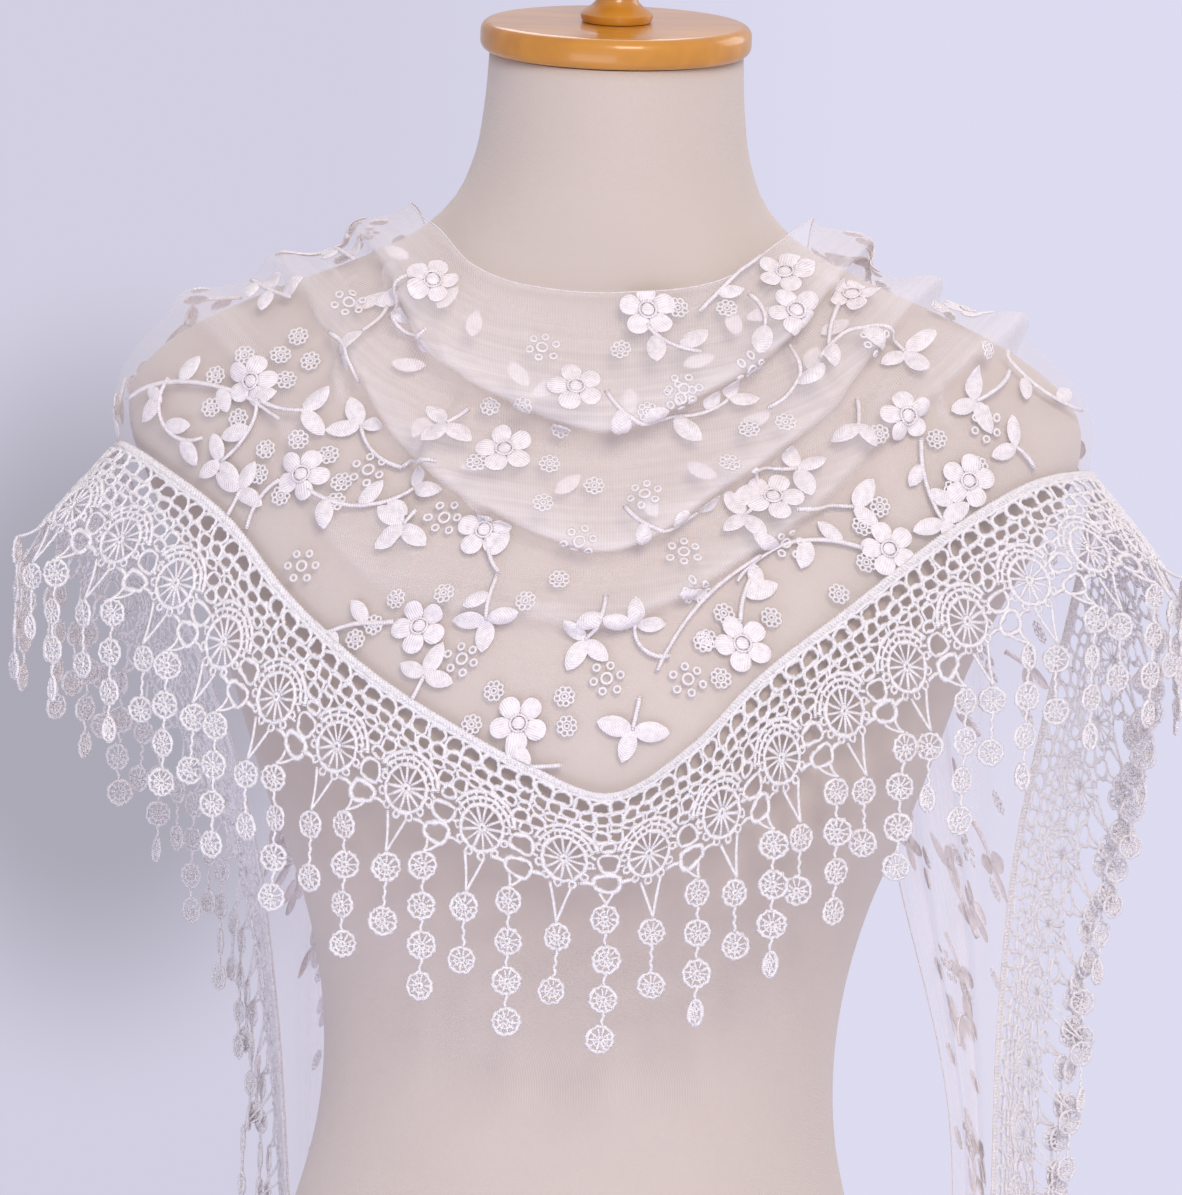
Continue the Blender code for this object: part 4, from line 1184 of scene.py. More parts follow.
@dataclass(frozen=True)
class WoodFinish:
    """Turned beech under a glossy honey varnish."""

    name: str = "honey_varnish"
    light: Colour = (0.68, 0.295, 0.030, 1.0)
    dark: Colour = (0.38, 0.135, 0.016, 1.0)
    grain_scale: Triple = (9.0, 60.0, 30.0)

    def build(self, effects: Effects) -> Material:
        """Makes the material.

        Args:
            effects: the shared groups.

        Returns:
            The material.
        """
        made, kit, shader = new_material(self.name)
        where = kit.place("Object")
        stretched = kit.node("Mapping", {"Vector": where, "Scale": self.grain_scale}).outputs[0]
        grain = effects.change(kit, stretched, 2.0, 5.0)
        slow = effects.change(kit, where, 14.0, 2.0)
        share = kit.math("MULTIPLY_ADD", slow, 0.45, kit.math("MULTIPLY_ADD", grain, 0.55, 0.6))
        kit.connect(shader, {
            "Base Color": kit.shade(share, self.dark, self.light),
            "Roughness": kit.math("MULTIPLY_ADD", slow, 0.05, 0.30), "Coat Weight": 0.5,
            "Coat Roughness": 0.08, "Normal": kit.bump(0.08, 0.0004, grain)})
        return made


@dataclass(frozen=True)
class FloorFinish:
    """Plain pale studio floor that fades out at its rim."""

    name: str = "studio_floor"
    colour: Colour = (0.72, 0.70, 0.82, 1.0)
    clear_from: float = 1.0
    clear_at: float = 1.45

    def build(self, effects: Effects) -> Material:
        """Makes the material.

        Args:
            effects: the shared groups.

        Returns:
            The material.
        """
        made, kit, shader = new_material(self.name)
        where = kit.place("Object")
        far = kit.vector("LENGTH", "Value", where)
        rough = kit.math("MULTIPLY_ADD", effects.change(kit, where, 3.0, 2.0), 0.05, 0.85)
        kit.connect(shader, {"Base Color": self.colour, "Roughness": rough,
                             "Alpha": kit.ramp(far, self.clear_from, self.clear_at, 1.0, 0.0)})
        return made


class Side(Enum):
    """A stretch of the veil: its name, and the repeats of the border that it has."""

    FRONT = ("front", -11, 11, 1)
    RIGHT = ("tail_right", 11, 24, -1)
    LEFT = ("tail_left", -24, -11, -1)

    def __init__(self, label: str, first: int, last: int, face: int) -> None:
        """Names the stretch's values."""
        self.label, self.first, self.last, self.face = label, first, last, face


@dataclass
class DressForm:
    """The padded torso, and the turned wood at its neck and under it."""

    shape: FormShape
    segments: int = 120
    torso_rings: int = 110
    knob_rings: int = 28
    lean: float = math.radians(8.0)
    lean_from: float = 0.384
    cap_radius: float = 0.0575
    cap_thickness: float = 0.013
    cap_edge: float = 0.0045
    base_radius: float = 0.135
    base_thickness: float = 0.020
    base_edge: float = 0.004
    pole_radius: float = 0.016
    collar_share: float = 1.7
    sharp_deg: float = 50.0
    gap: float = 0.0003

    def torso(self, jersey: Material) -> Object:
        """Builds the jersey-covered torso, closed at its neck and its underside.

        Args:
            jersey: its material.

        Returns:
            The new object.
        """
        low, high = FORM_RINGS[0][0], FORM_RINGS[-1][0]
        heights = np.linspace(low, high, self.torso_rings)
        half_width, front, back = self.shape.size(heights + self.shape.waist)
        wide = self.segments + 1
        turn = np.arange(wide) * math.tau / self.segments
        y = np.where(np.sin(turn)[None, :] < 0, front[:, None], back[:, None]) * np.sin(turn)
        share = np.clip((heights - self.lean_from) / (high - self.lean_from), 0, None)[:, None]
        z = self.shape.waist + heights[:, None] + share * math.tan(self.lean) * y
        points = np.stack([half_width[:, None] * np.cos(turn), y, z], -1)
        around = lengths(points, 1)
        uv = np.stack([around, np.broadcast_to(heights[:, None], around.shape)], -1).reshape(-1, 2)
        top = (self.torso_rings - 1) * wide
        faces = grid_faces(self.torso_rings, wide)
        faces.append(tuple(reversed(range(self.segments))))
        faces.append(tuple(range(top, top + self.segments)))
        made = add_mesh("torso_jersey", points.reshape(-1, 3), faces, jersey, uv)
        for polygon in made.data.polygons[-2:]:
            polygon.use_smooth = False
        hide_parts("form_torso")
        return made

    def turned(self, name: str, profile: Sequence[tuple[float, float]], wood: Material,
               node: str) -> Object:
        """Turns a wooden part on the lathe.

        Args:
            name: the piece's name.
            profile: radius and height of each point, from the axis back to the axis.
            wood: its material.
            node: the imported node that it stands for.

        Returns:
            The new object, upright on the origin.
        """
        count, middle = self.segments, profile[1:-1]
        rings = [np.column_stack([circle(count) * r, np.full(count, z)]) for r, z in middle]
        points = np.vstack(rings + [[0, 0, profile[0][1]], [0, 0, profile[-1][1]]])
        foot, last = len(middle) * count, (len(middle) - 1) * count
        faces = grid_faces(len(middle), count, closed=True)
        faces += [(foot, (k + 1) % count, k) for k in range(count)]
        faces += [(last + k, last + (k + 1) % count, foot + 1) for k in range(count)]
        made = add_mesh(name, points, faces, wood)
        made.data.set_sharp_from_angle(angle=math.radians(self.sharp_deg))
        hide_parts(node)
        return made

    @staticmethod
    def rounded(radius: float, low: float, high: float, edge: float) -> list[tuple[float, float]]:
        """Draws the profile of a disc with rounded edges.

        Args:
            radius: the disc's radius.
            low: its underside's height.
            high: its top's height.
            edge: its edges' radius.

        Returns:
            Radius and height of each point, from the axis below to the axis above.
        """
        corner = np.linspace(0, math.pi / 2, 7)
        under = [(radius - edge + edge * math.sin(a), low + edge - edge * math.cos(a)) for a in corner]
        over = [(radius - edge + edge * math.cos(a), high - edge + edge * math.sin(a)) for a in corner]
        return [(0.0, low), *under, *over, (radius * 0.5, high), (0.0, high)]

    def neck(self, wood: Material) -> list[Object]:
        """Builds the neck's cap and its knob, both leaning forward with the neck's top.

        Args:
            wood: their material.

        Returns:
            The cap and the knob.
        """
        top = self.shape.waist + FORM_RINGS[-1][0]
        centre = (FORM_RINGS[-1][3] - FORM_RINGS[-1][2]) / 2
        profile = self.rounded(self.cap_radius, 0, self.cap_thickness, self.cap_edge)
        cap = self.turned("neck_cap_wood", profile, wood, "neck_cap")
        knob_top = KNOB_HEIGHTS[-1]
        heights = np.linspace(0, knob_top, self.knob_rings)
        radii = through(KNOB_HEIGHTS, KNOB_RADII, heights)
        knob = self.turned("neck_knob_wood", [(0.0, 0.0), *zip(radii, heights), (0.0, knob_top)], wood,
                           "neck_knob")
        base = Vector((0.0, centre, top + math.tan(self.lean) * centre))
        up = Vector((0.0, -math.sin(self.lean), math.cos(self.lean)))
        for made, rise in ((cap, self.gap), (knob, self.cap_thickness + 2 * self.gap)):
            made.rotation_euler = (self.lean, 0, 0)
            made.location = base + up * rise
        return [cap, knob]

    def stand(self, wood: Material) -> list[Object]:
        """Builds the round base and the pole.

        Args:
            wood: their material.

        Returns:
            The base and the pole.
        """
        bottom = self.shape.waist + FORM_RINGS[0][0]
        profile = self.rounded(self.base_radius, 0, self.base_thickness, self.base_edge)
        base = self.turned("base_wood", profile, wood, "stand_base")
        foot, wide = self.base_thickness + self.gap, self.pole_radius * self.collar_share
        pole = self.turned("pole_wood", [
            (0, foot), (wide, foot), (wide, foot + 0.006), (wide - 0.001, foot + 0.008),
            (self.pole_radius + 0.002, foot + 0.013), (self.pole_radius, foot + 0.018),
            (self.pole_radius, bottom - self.gap), (0, bottom - self.gap)], wood, "stand_pole")
        return [base, pole]


@dataclass
class Net:
    """The sheer ground of the veil, one piece from tail to tail, with its embroidery."""

    drape: Drape
    flat: tuple[float, float] = (1.48, 0.27)
    area: float = 0.1998
    every_row: int = 2
    leaf_length: float = 0.0142
    leaf_width: float = 0.0078
    leaf_height: float = 0.0009
    stem_half: float = 0.00115
    stem_step: float = 0.0028
    petal_radius: float = 0.0047
    petal_out: float = 0.0073
    heart_ring: float = 0.0035
    heart: float = 0.0027
    satin_height: float = 0.0005
    openwork_lift: float = 0.0003
    hem_half: float = 0.0003
    under_reach: float = 0.30
    under_step: float = 0.064
    tail_from: float = 0.405
    tail_to: float = 0.965
    tail_step: float = 0.047
    lane_width: float = 0.052
    seed: int = 7
    rng: np.random.Generator = field(init=False)

    def __post_init__(self) -> None:
        """Starts the piece's own chance."""
        self.rng = np.random.default_rng(self.seed)

    def ground(self, net: Material) -> Object:
        """Builds the net itself, one layer thin.

        Args:
            net: its material.

        Returns:
            The new object.
        """
        drape = self.drape
        grid = drape.net[:, :: self.every_row]
        rows, columns = grid.shape[:2]
        along = lengths(grid, 0)
        along -= along[rows // 2]
        uv = np.stack([along, drape.reach[:, :: self.every_row]], -1).reshape(-1, 2)
        made = add_mesh("net_ground", grid.reshape(-1, 3), grid_faces(rows, columns), net, uv)
        # Whitening of the net round folds and wrinkles: partly denser gathered net, partly a painted
        # highlight.
        fold = made.data.attributes.new("fold", "FLOAT", "POINT")
        share = np.clip(drape.fold_density_and_highlight[:, :: self.every_row], 0, 1)
        fold.data.foreach_set("value", share.astype(np.float32).ravel())
        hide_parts("net_front", "net_tail_left", "net_tail_right")
        return made

    def flower(self, layout: Layout, turn: float) -> None:
        """Draws a five-petalled flower with a raised ring.

        Args:
            layout: what it is drawn on.
            turn: the way its first petal points, in radians.
        """
        cos, sin = circle(18).T
        r, t = self.petal_radius * cos, self.petal_radius * sin * (0.93 + 0.09 * cos)
        for k in range(5):
            a = turn + k * math.tau / 5
            centre = self.petal_out * toward(a)
            outline = centre + np.stack([r * math.cos(a) - t * math.sin(a),
                                         r * math.sin(a) + t * math.cos(a)], 1)
            layout.dome(outline, centre, self.satin_height, 0.0004 + 0.0002 * (k % 2), a)
        layout.ring(0, 0, self.heart_ring, 0.00055, 20, lift=0.0013)
        layout.dome(self.heart * circle(12), np.zeros(2), self.satin_height, 0.0009)

    def eyelet(self, layout: Layout) -> None:
        """Draws an openwork round of small rings.

        Args:
            layout: what it is drawn on.
        """
        layout.ring(0, 0, 0.0010, 0.00048, 8, lift=self.openwork_lift)
        turn = self.rng.uniform(0, 1)
        for k in range(8):
            a, r = turn + k * math.tau / 8, 0.0030 + self.rng.uniform(-0.0001, 0.0001)
            layout.ring(*r * toward(a), 0.00118, 0.00048, 8, lift=self.openwork_lift)

    def cluster(self, layout: Layout) -> None:
        """Draws one larger ring with six small ones round it.

        Args:
            layout: what it is drawn on.
        """
        layout.ring(0, 0, 0.0022, 0.00062, 12, lift=self.openwork_lift)
        turn = self.rng.uniform(0, 1)
        for k in range(6):
            a, r = turn + k * math.tau / 6, 0.0058 + self.rng.uniform(-0.0006, 0.0008)
            layout.ring(*r * toward(a), 0.0014, 0.00060, 8, lift=self.openwork_lift)

    def leaf(self, work: Needlework, place: Triple, size: float) -> None:
        """Lays one leaf on the net.

        Args:
            work: what it is added to.
            place: its foot's station and reach, and the way it points in radians.
            size: its size, 1 for the usual.
        """
        at, reach, turn = place
        layout = Layout()
        layout.leaf(turn, self.leaf_length * size, self.leaf_width * size, self.leaf_height, 0.0003)
        work.lay(layout, self.drape.patch(at, reach))

    def sprig(self, work: Needlework, sprig: Sprig) -> None:
        """Lays a stem with its leaves on the net.

        Args:
            work: what it is added to.
            sprig: the stem.
        """
        steps = max(5, int(sprig.length / self.stem_step))
        path = self.drape.walk(sprig, steps)
        points, normals = self.drape.net_surface(path[:, 0], path[:, 1])
        taper = np.linspace(1.0, 0.8, len(points)) * self.stem_half
        work.thread(points + normals * self.satin_height, normals, taper, 0.8)
        for k in range(sprig.leaves):
            at, reach, turn = path[int(round((k + 0.7) / (sprig.leaves + 0.6) * steps))]
            side = 1 if k % 2 else -1
            turn = turn + side * self.rng.uniform(0.6, 1.1)
            self.leaf(work, (at, reach, turn), self.rng.uniform(0.8, 1.1))
        at, reach, heading = path[-1]
        for angle in END_LEAVES[sprig.end]:
            turn = heading + angle + self.rng.uniform(-0.2, 0.2)
            self.leaf(work, (at, reach, turn), self.rng.uniform(0.85, 1.1))

    def tail_motifs(self) -> tuple[list, list, list, list]:
        """Spreads the same motifs over the tails and behind the shoulders.

        Returns:
            Flowers, sprigs, eyelets and clusters, as in the tables.
        """
        flowers, sprigs, eyelets, clusters = [], [], [], []
        ends = ("trefoil", "pair", "leaf", "trefoil")
        for side in (-1, 1):
            for number, at in enumerate(np.arange(self.tail_from, self.tail_to, self.tail_step)):
                total = self.drape.reach[int(self.drape.station(side * at)), -1]
                lanes = max(1, int(total / self.lane_width))
                for lane in range(lanes):
                    place = side * (at + 0.012 * (lane % 2))
                    reach = total * (lane + 0.5) / lanes
                    kind = (number + lane * 2) % 4
                    spin = float(self.rng.uniform(0, 360))
                    if kind == 0:
                        flowers.append((place, reach, spin))
                        sprigs.append(Sprig(place + 0.012, reach, spin, 0.030, 60, 2, "pair"))
                    elif kind == 2:
                        sprigs.append(Sprig(place, reach, spin, 0.034, -80, 3, ends[lane % 4]))
                    else:
                        sprigs.append(Sprig(place, reach, spin, 0.016, 20, 0, "trefoil"))
                        clusters.append((place + 0.018, reach * 0.9))
                    eyelets.append((place + 0.020, min(reach + 0.012, total * 0.92)))
                    eyelets.append((place - 0.014, max(reach - 0.014, total * 0.08)))
        return flowers, sprigs, eyelets, clusters

    def embroidery(self, satin: Material,
                   openwork: Material) -> list[Object]:
        """Builds the satin work, and the openwork rounds between it.

        Args:
            satin: the material of the flowers, stems and leaves.
            openwork: the material of the rounds.

        Returns:
            The satin work and the rounds.
        """
        more_flowers, more_sprigs, more_eyelets, more_clusters = self.tail_motifs()
        solid, rounds = Needlework(), Needlework()
        for sprig in (*SPRIGS, *more_sprigs):
            self.sprig(solid, sprig)
        for at, reach, turn in (*FLOWERS, *more_flowers):
            layout = Layout()
            self.flower(layout, math.radians(turn))
            solid.lay(layout, self.drape.patch(at, reach))
        self.under_folds(solid)
        for draw, places in ((self.eyelet, (*EYELETS, *more_eyelets)),
                             (self.cluster, (*CLUSTERS, *more_clusters))):
            for at, reach in places:
                layout = Layout()
                draw(layout)
                rounds.lay(layout, self.drape.patch(at, reach))
        return [solid.build("satin_embroidery", satin, "lace"),
                rounds.build("openwork_rounds", openwork, "lace")]

    def under_folds(self, work: Needlework) -> None:
        """Lays the leaves that show through the net, on the layer behind each fold's crest.

        Args:
            work: what it is added to.
        """
        for places in (FOLDS["cowl"], FOLDS["second"]):
            knots, across = [p.at for p in places], [p.across for p in places]
            for at in np.arange(-self.under_reach, self.under_reach, self.under_step):
                at += self.rng.uniform(-0.012, 0.012)
                total = self.drape.reach[int(self.drape.station(at)), -1]
                reach = float(through(knots, across, at)) * total - self.rng.uniform(0.001, 0.006)
                layout = Layout()
                layout.leaf(self.rng.uniform(0, math.tau), self.leaf_length, self.leaf_width * 0.9,
                            0.0004, -0.0016)
                work.lay(layout, self.drape.patch(at, reach))

    def hem(self, satin: Material) -> Object:
        """Builds the fine overcast thread along the plain edge.

        Args:
            satin: its material.

        Returns:
            The new object.
        """
        work = Needlework()
        work.thread(self.drape.net[:, 0], self.drape.net_normals[:, 0], self.hem_half)
        return work.build("plain_edge_thread", satin, "net")


class Root(NamedTuple):
    """A fringe strand's root: its place along the border, its kind, its point and its three ways."""

    length: float
    strand: Strand
    point: Array
    out: Array
    sideways: Array
    outward: Array


@dataclass
class Border:
    """The guipure border, a repeat of cells and rosettes, and the dotted fringe that hangs from it."""

    drape: Drape
    rosette_y: float = 0.0310
    rosette_ring: float = 0.0086
    spokes: int = 13
    picots: int = 12
    picot_ring: float = 0.0100
    arc_inner: float = 0.0112
    arc_outer: float = 0.0134
    arc_halves: tuple[float, float] = (0.00088, 0.00080)
    valley_y: float = 0.0315
    join_y: float = 0.0400
    bar_half: float = 0.0006
    hub: float = 0.0011
    hub_half: float = 0.0007
    braid_y: float = 0.0013
    braid_swing: float = 0.0011
    braid_turn: float = 0.0048
    braid_half: float = 0.0009
    cord_half: float = 0.0008
    round_ring: float = 0.0053
    dot_radius: float = 0.0062
    valley_depth: float = 0.0380
    long_strand: Strand = Strand(0.0078, 0.0085, 4, 0.0042)
    short_strand: Strand = Strand(0.0120, 0.0008, 2, 0.0095)
    layer_start: float = 0.0024
    layer_step: float = 0.0004
    layer_gap: float = 0.0025
    seed: int = 11
    rng: np.random.Generator = field(init=False)

    def __post_init__(self) -> None:
        """Starts the piece's own chance and draws the repeats and the rounds."""
        self.rng = np.random.default_rng(self.seed)
        self.repeats = [self.repeat() for _ in range(4)]
        self.rounds = [self.crochet_round(1.0) for _ in range(8)]
        self.drops = [self.crochet_round(0.5) for _ in range(2)]

    def uneven(self, size: float) -> float:
        """A small chance shift of a hand-worked thread."""
        return float(self.rng.uniform(-size, size))

    def cell(self, layout: Layout, x: float, y: float, wide: float, high: float, half: float,
             points: int) -> None:
        """Draws one rounded cell a little out of true.

        Args:
            layout: what it is drawn on.
            x: its middle.
            y: its middle.
            wide: half its width.
            high: half its height.
            half: half its cord's width.
            points: how many points it has.
        """
        a = np.arange(points) * math.tau / points + self.uneven(0.1)
        grow = 1 + 0.09 * np.sin(2 * a + self.uneven(3)) + 0.08 * np.sin(3 * a + self.uneven(3))
        rounding = np.stack([np.cos(a), np.sin(a)], 1)
        rounding = np.sign(rounding) * np.abs(rounding) ** 0.82
        middle = np.array([x + self.uneven(0.0005), y + self.uneven(0.0004)])
        path = middle + np.array([wide, high]) * grow[:, None] * rounding
        layout.cord(path, half * self.rng.uniform(0.8, 1.12), closed=True, lift=self.uneven(0.0003))

    def repeat(self) -> Layout:
        """Draws one repeat of the border, from one valley to the next.

        Returns:
            The drawing.
        """
        pitch = self.drape.pitch
        layout = Layout(self.rng)
        for count, *size in CELL_ROWS:
            for c in range(count):
                self.cell(layout, (c + 0.5) * pitch / count, *size)
        for x, *size in VALLEY_CELLS:
            self.cell(layout, x + pitch * (x < 0), *size)
        middle = np.array([pitch / 2, self.rosette_y])
        turn = np.radians(np.linspace(198, 342, 24))
        arc = np.stack([np.cos(turn), np.sin(turn)], 1)
        for radius, half in zip((self.arc_outer, self.arc_inner), self.arc_halves):
            layout.cord(middle + arc * radius, half)
        for a in np.radians(np.linspace(203, 337, 8)):
            layout.cord(middle + toward(a) * np.array([[self.arc_inner], [self.arc_outer]]), self.bar_half)
        self.rosette(layout, middle)
        self.bars(layout, middle)
        return layout

    def bars(self, layout: Layout, middle: Array) -> None:
        """Draws the short threads that join a wheel to the cells on both sides of it.

        Args:
            layout: what it is drawn on.
            middle: the wheel's centre.
        """
        for side in (-1, 1):
            gap = self.drape.pitch / 2 - 0.0044
            for low, high in ((-0.0030, -0.0020), (0.0022, 0.0016)):
                foot = middle + [side * 0.0100, low]
                far = [middle[0] + side * gap, self.valley_y + high]
                layout.cord(np.linspace(foot, far, 3), self.bar_half)
            low = middle + [side * 0.0062, 0.0086]
            join = np.array([middle[0] + side * (self.drape.pitch / 2 - 0.0042), self.join_y])
            layout.cord(np.array([low, (low + join) / 2 + [0, -0.0006], join]), 0.00074)

    def rosette(self, layout: Layout, middle: Array) -> None:
        """Draws a wheel of spokes with a ring and picots.

        Args:
            layout: what it is drawn on.
            middle: its centre.
        """
        layout.ring(*middle, self.rosette_ring, 0.00085, 30, lift=0.0002, lobes=self.spokes, lobe=0.0002)
        layout.ring(*middle, self.hub, self.hub_half, 8, lift=0.0004)
        start = self.uneven(0.3)
        for k in range(self.spokes):
            way = toward(start + k * math.tau / self.spokes + self.uneven(0.06))
            layout.cord(middle + way * np.array([[0.0008], [0.0050], [self.rosette_ring]]),
                        self.rng.uniform(0.00050, 0.00070), lift=0.0001)
        for k in range(self.picots):
            out = (self.picot_ring + self.uneven(0.0003)) * toward(start + k * math.tau / self.picots)
            layout.ring(*(middle + out), 0.0013, 0.00055, 8)

    def crochet_round(self, width: float) -> Layout:
        """Draws one round of the fringe, or a narrow drop.

        Args:
            width: its width over its height.

        Returns:
            The drawing, about its own middle.
        """
        layout = Layout(self.rng)
        shape = np.array([width, 1.0])
        lobes = int(self.rng.integers(9, 13))
        a = np.arange(28) * math.tau / 28
        r = self.round_ring + 0.0003 * np.cos(a * lobes) + 0.0003 * np.sin(a + self.uneven(3))
        layout.cord(circle(28) * r[:, None] * shape, self.cord_half, closed=True)
        count = 10 if width > 0.6 else 6
        start = self.uneven(0.5)
        for k in range(count):
            way = toward(start + (k + self.uneven(0.16)) * math.tau / count) * shape
            inner = self.rng.uniform(0.0004, 0.0017)
            layout.cord(way * np.array([[inner], [0.0032], [0.0051]]), self.rng.uniform(0.00044, 0.0006),
                        lift=self.uneven(0.0002) + 0.0002)
        layout.ring(0, 0, self.hub * width, self.hub_half, 7, lift=0.0004, squash=1 / width)
        a = np.linspace(0, math.tau * self.rng.uniform(0.55, 0.9), 11) + start
        layout.cord(np.stack([np.cos(a), np.sin(a)], 1) * 0.0031 * shape, 0.00045)
        return layout

    def header(self, side: Side) -> Layout:
        """Draws a stretch's braided header, and the cord at the veil's tip where it has one.

        Args:
            side: the stretch.

        Returns:
            The drawing.
        """
        start, end = side.first * self.drape.pitch, side.last * self.drape.pitch
        layout = Layout()
        x = np.arange(start, end + 0.0004, 0.0008)
        for phase in (0.0, math.tau / 3, 2 * math.tau / 3):
            turn = x * math.tau / self.braid_turn + phase
            braid = np.stack([x, self.braid_y + self.braid_swing * np.sin(turn)], 1)
            layout.cord(braid, self.braid_half, lift=0.0004 * np.cos(turn))
        x = np.arange(start, end + 0.001, 0.0016)
        wave = 0.0033 + 0.00018 * np.sin(x * math.tau / 0.0070)
        layout.cord(np.stack([x, wave], 1), self.cord_half)
        tip = {Side.LEFT: start, Side.RIGHT: end}.get(side)
        if tip is not None:
            y = np.linspace(0.0006, 0.0375, 24)
            layout.cord(np.stack([np.full(24, tip), y], 1), self.cord_half)
        return layout

    def lace(self, side: Side, thread: Material) -> Object:
        """Builds one stretch of the border.

        Args:
            side: the stretch.
            thread: its material.

        Returns:
            The new object.
        """
        pitch, work = self.drape.pitch, Needlework()
        for k in range(side.first, side.last):
            layout = self.repeats[k % len(self.repeats)]
            work.lay(layout, lambda x, y, k=k: self.drape.border_surface(x + k * pitch, y))
        work.lay(self.header(side), self.drape.border_surface)
        made = work.build("lace_border_" + side.label, thread, "lace")
        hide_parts("border_" + side.label)
        return made

    def roots(self, side: Side) -> list[Root]:
        """Finds where a stretch's strands are rooted, at its valleys and its rosettes.

        Args:
            side: the stretch.

        Returns:
            The roots, from left to right.
        """
        pitch = self.drape.pitch
        join, tip, inset = 10.5 * pitch, self.drape.repeats_per_side * pitch, 0.2 * pitch
        start, end = {Side.FRONT: (-join + inset, join - inset), Side.RIGHT: (join - inset, tip - inset),
                      Side.LEFT: (-tip + inset, -join + inset)}[side]
        found = []
        for half in range(math.ceil(2 * start / pitch), math.floor(2 * end / pitch) + 1):
            valley = half % 2 == 0
            depth = self.valley_depth if valley else self.drape.border_depth
            length = half * pitch / 2
            here, normal = self.drape.border_at(length, depth)
            inside, _ = self.drape.border_at(length, depth - 0.02)
            outward, away = unit(normal * LEVEL), unit(here - inside)
            found.append(Root(length, self.long_strand if valley else self.short_strand,
                              here + away * 0.0020, away * LEVEL, np.cross([0.0, 0.0, 1.0], outward),
                              outward))
        return found

    def hung_strands(self, side: Side) -> list[tuple[Root, Array]]:
        """Hangs the strands of a stretch clear of their neighbours, the highest first.

        Args:
            side: the stretch.

        Returns:
            Each strand's root, and the top of its first round.
        """
        wide = 2 * self.dot_radius
        hung, found = [], []
        for root in sorted(self.roots(side), key=lambda r: -r.point[2]):
            strand, top = root.strand, root.point[2]
            bottom = top - strand.lead - strand.dots * (wide + strand.link) + strand.link
            layer = self.layer_start
            while True:
                place = root.point + root.outward * layer * side.face
                place = place + root.out * (self.dot_radius + strand.reach)
                if not any(top > low - 0.002 and bottom < high + 0.002
                           and abs((place - other) @ root.sideways) < wide + 0.001
                           and abs((place - other) @ root.outward) < self.layer_gap
                           for other, high, low in hung):
                    break
                layer += self.layer_step
            hung.append((place * LEVEL, top, bottom))
            found.append((root, place + DOWN * strand.lead))
        return found

    def fringe(self, side: Side, thread: Material) -> Object:
        """Builds the strands of one stretch, with their rounds.

        Args:
            side: the stretch.
            thread: its material.

        Returns:
            The new object.
        """
        work = Needlework()
        t = np.linspace(0, 1, 9)[:, None]
        for root, place in self.hung_strands(side):
            apart, depth = (0.0026, 0.0432) if root.strand is self.long_strand else (0.0040, 0.0412)
            for way in (-1, 1):
                foot, _ = self.drape.border_at(root.length + way * apart, depth)
                bow = foot + (place - foot) * 0.45 + DOWN * 0.0016 - root.sideways * way * 0.0008
                path = (1 - t) ** 2 * foot + 2 * t * (1 - t) * bow + t**2 * place
                work.thread(path, root.outward, 0.00068 * self.rng.uniform(0.85, 1.15, 9))
            self.strand(work, root, place)
        made = work.build("fringe_rounds_" + side.label, thread, "lace")
        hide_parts("fringe_" + side.label)
        return made

    def strand(self, work: Needlework, root: Root, place: Array) -> None:
        """Hangs the rounds of one strand and the twisted thread between them.

        Args:
            work: what they are added to.
            root: the strand's root.
            place: the top of its first round.
        """
        strand, sideways, outward = root.strand, root.sideways, root.outward
        for number in range(strand.dots):
            last = number == strand.dots - 1
            drop = self.rng.uniform() < (0.25 if last else 0.06)
            drawn = self.drops if drop else self.rounds
            layout = drawn[int(self.rng.integers(len(drawn)))]
            tilt = self.uneven(0.38)
            across = sideways * math.cos(tilt) + outward * math.sin(tilt)
            facing = outward * math.cos(tilt) - sideways * math.sin(tilt)
            roll, size = self.uneven(0.5), self.rng.uniform(0.94, 1.04)
            if drop:
                roll = self.uneven(0.1)
            right = (across * math.cos(roll) + DOWN * math.sin(roll)) * size
            below = (DOWN * math.cos(roll) - across * math.sin(roll)) * size
            centre = place + DOWN * self.dot_radius + sideways * self.uneven(0.0008)
            work.lay(layout, lambda x, y: (centre + x[:, None] * right + y[:, None] * below,
                                           np.broadcast_to(facing, (len(x), 3))))
            under = centre + DOWN * (self.dot_radius - 0.0009)
            place = place + DOWN * (2 * self.dot_radius + strand.link)
            if not last:
                count = max(6, int(strand.link / 0.0007))
                t = np.linspace(0, 1, count)[:, None]
                path = under + (place + DOWN * 0.0006 - under) * t
                path = path + sideways * 0.00035 * np.sin(t * math.tau * strand.link / 0.0035)
                beads = 0.0006 + 0.0002 * (np.arange(count) % 2)
                work.thread(path, outward, beads)


class Lamp(NamedTuple):
    """One soft square light: where it stands, what it points at, and its light."""

    name: str
    place: Triple
    aim: Triple
    size: float
    power: float
    colour: Triple


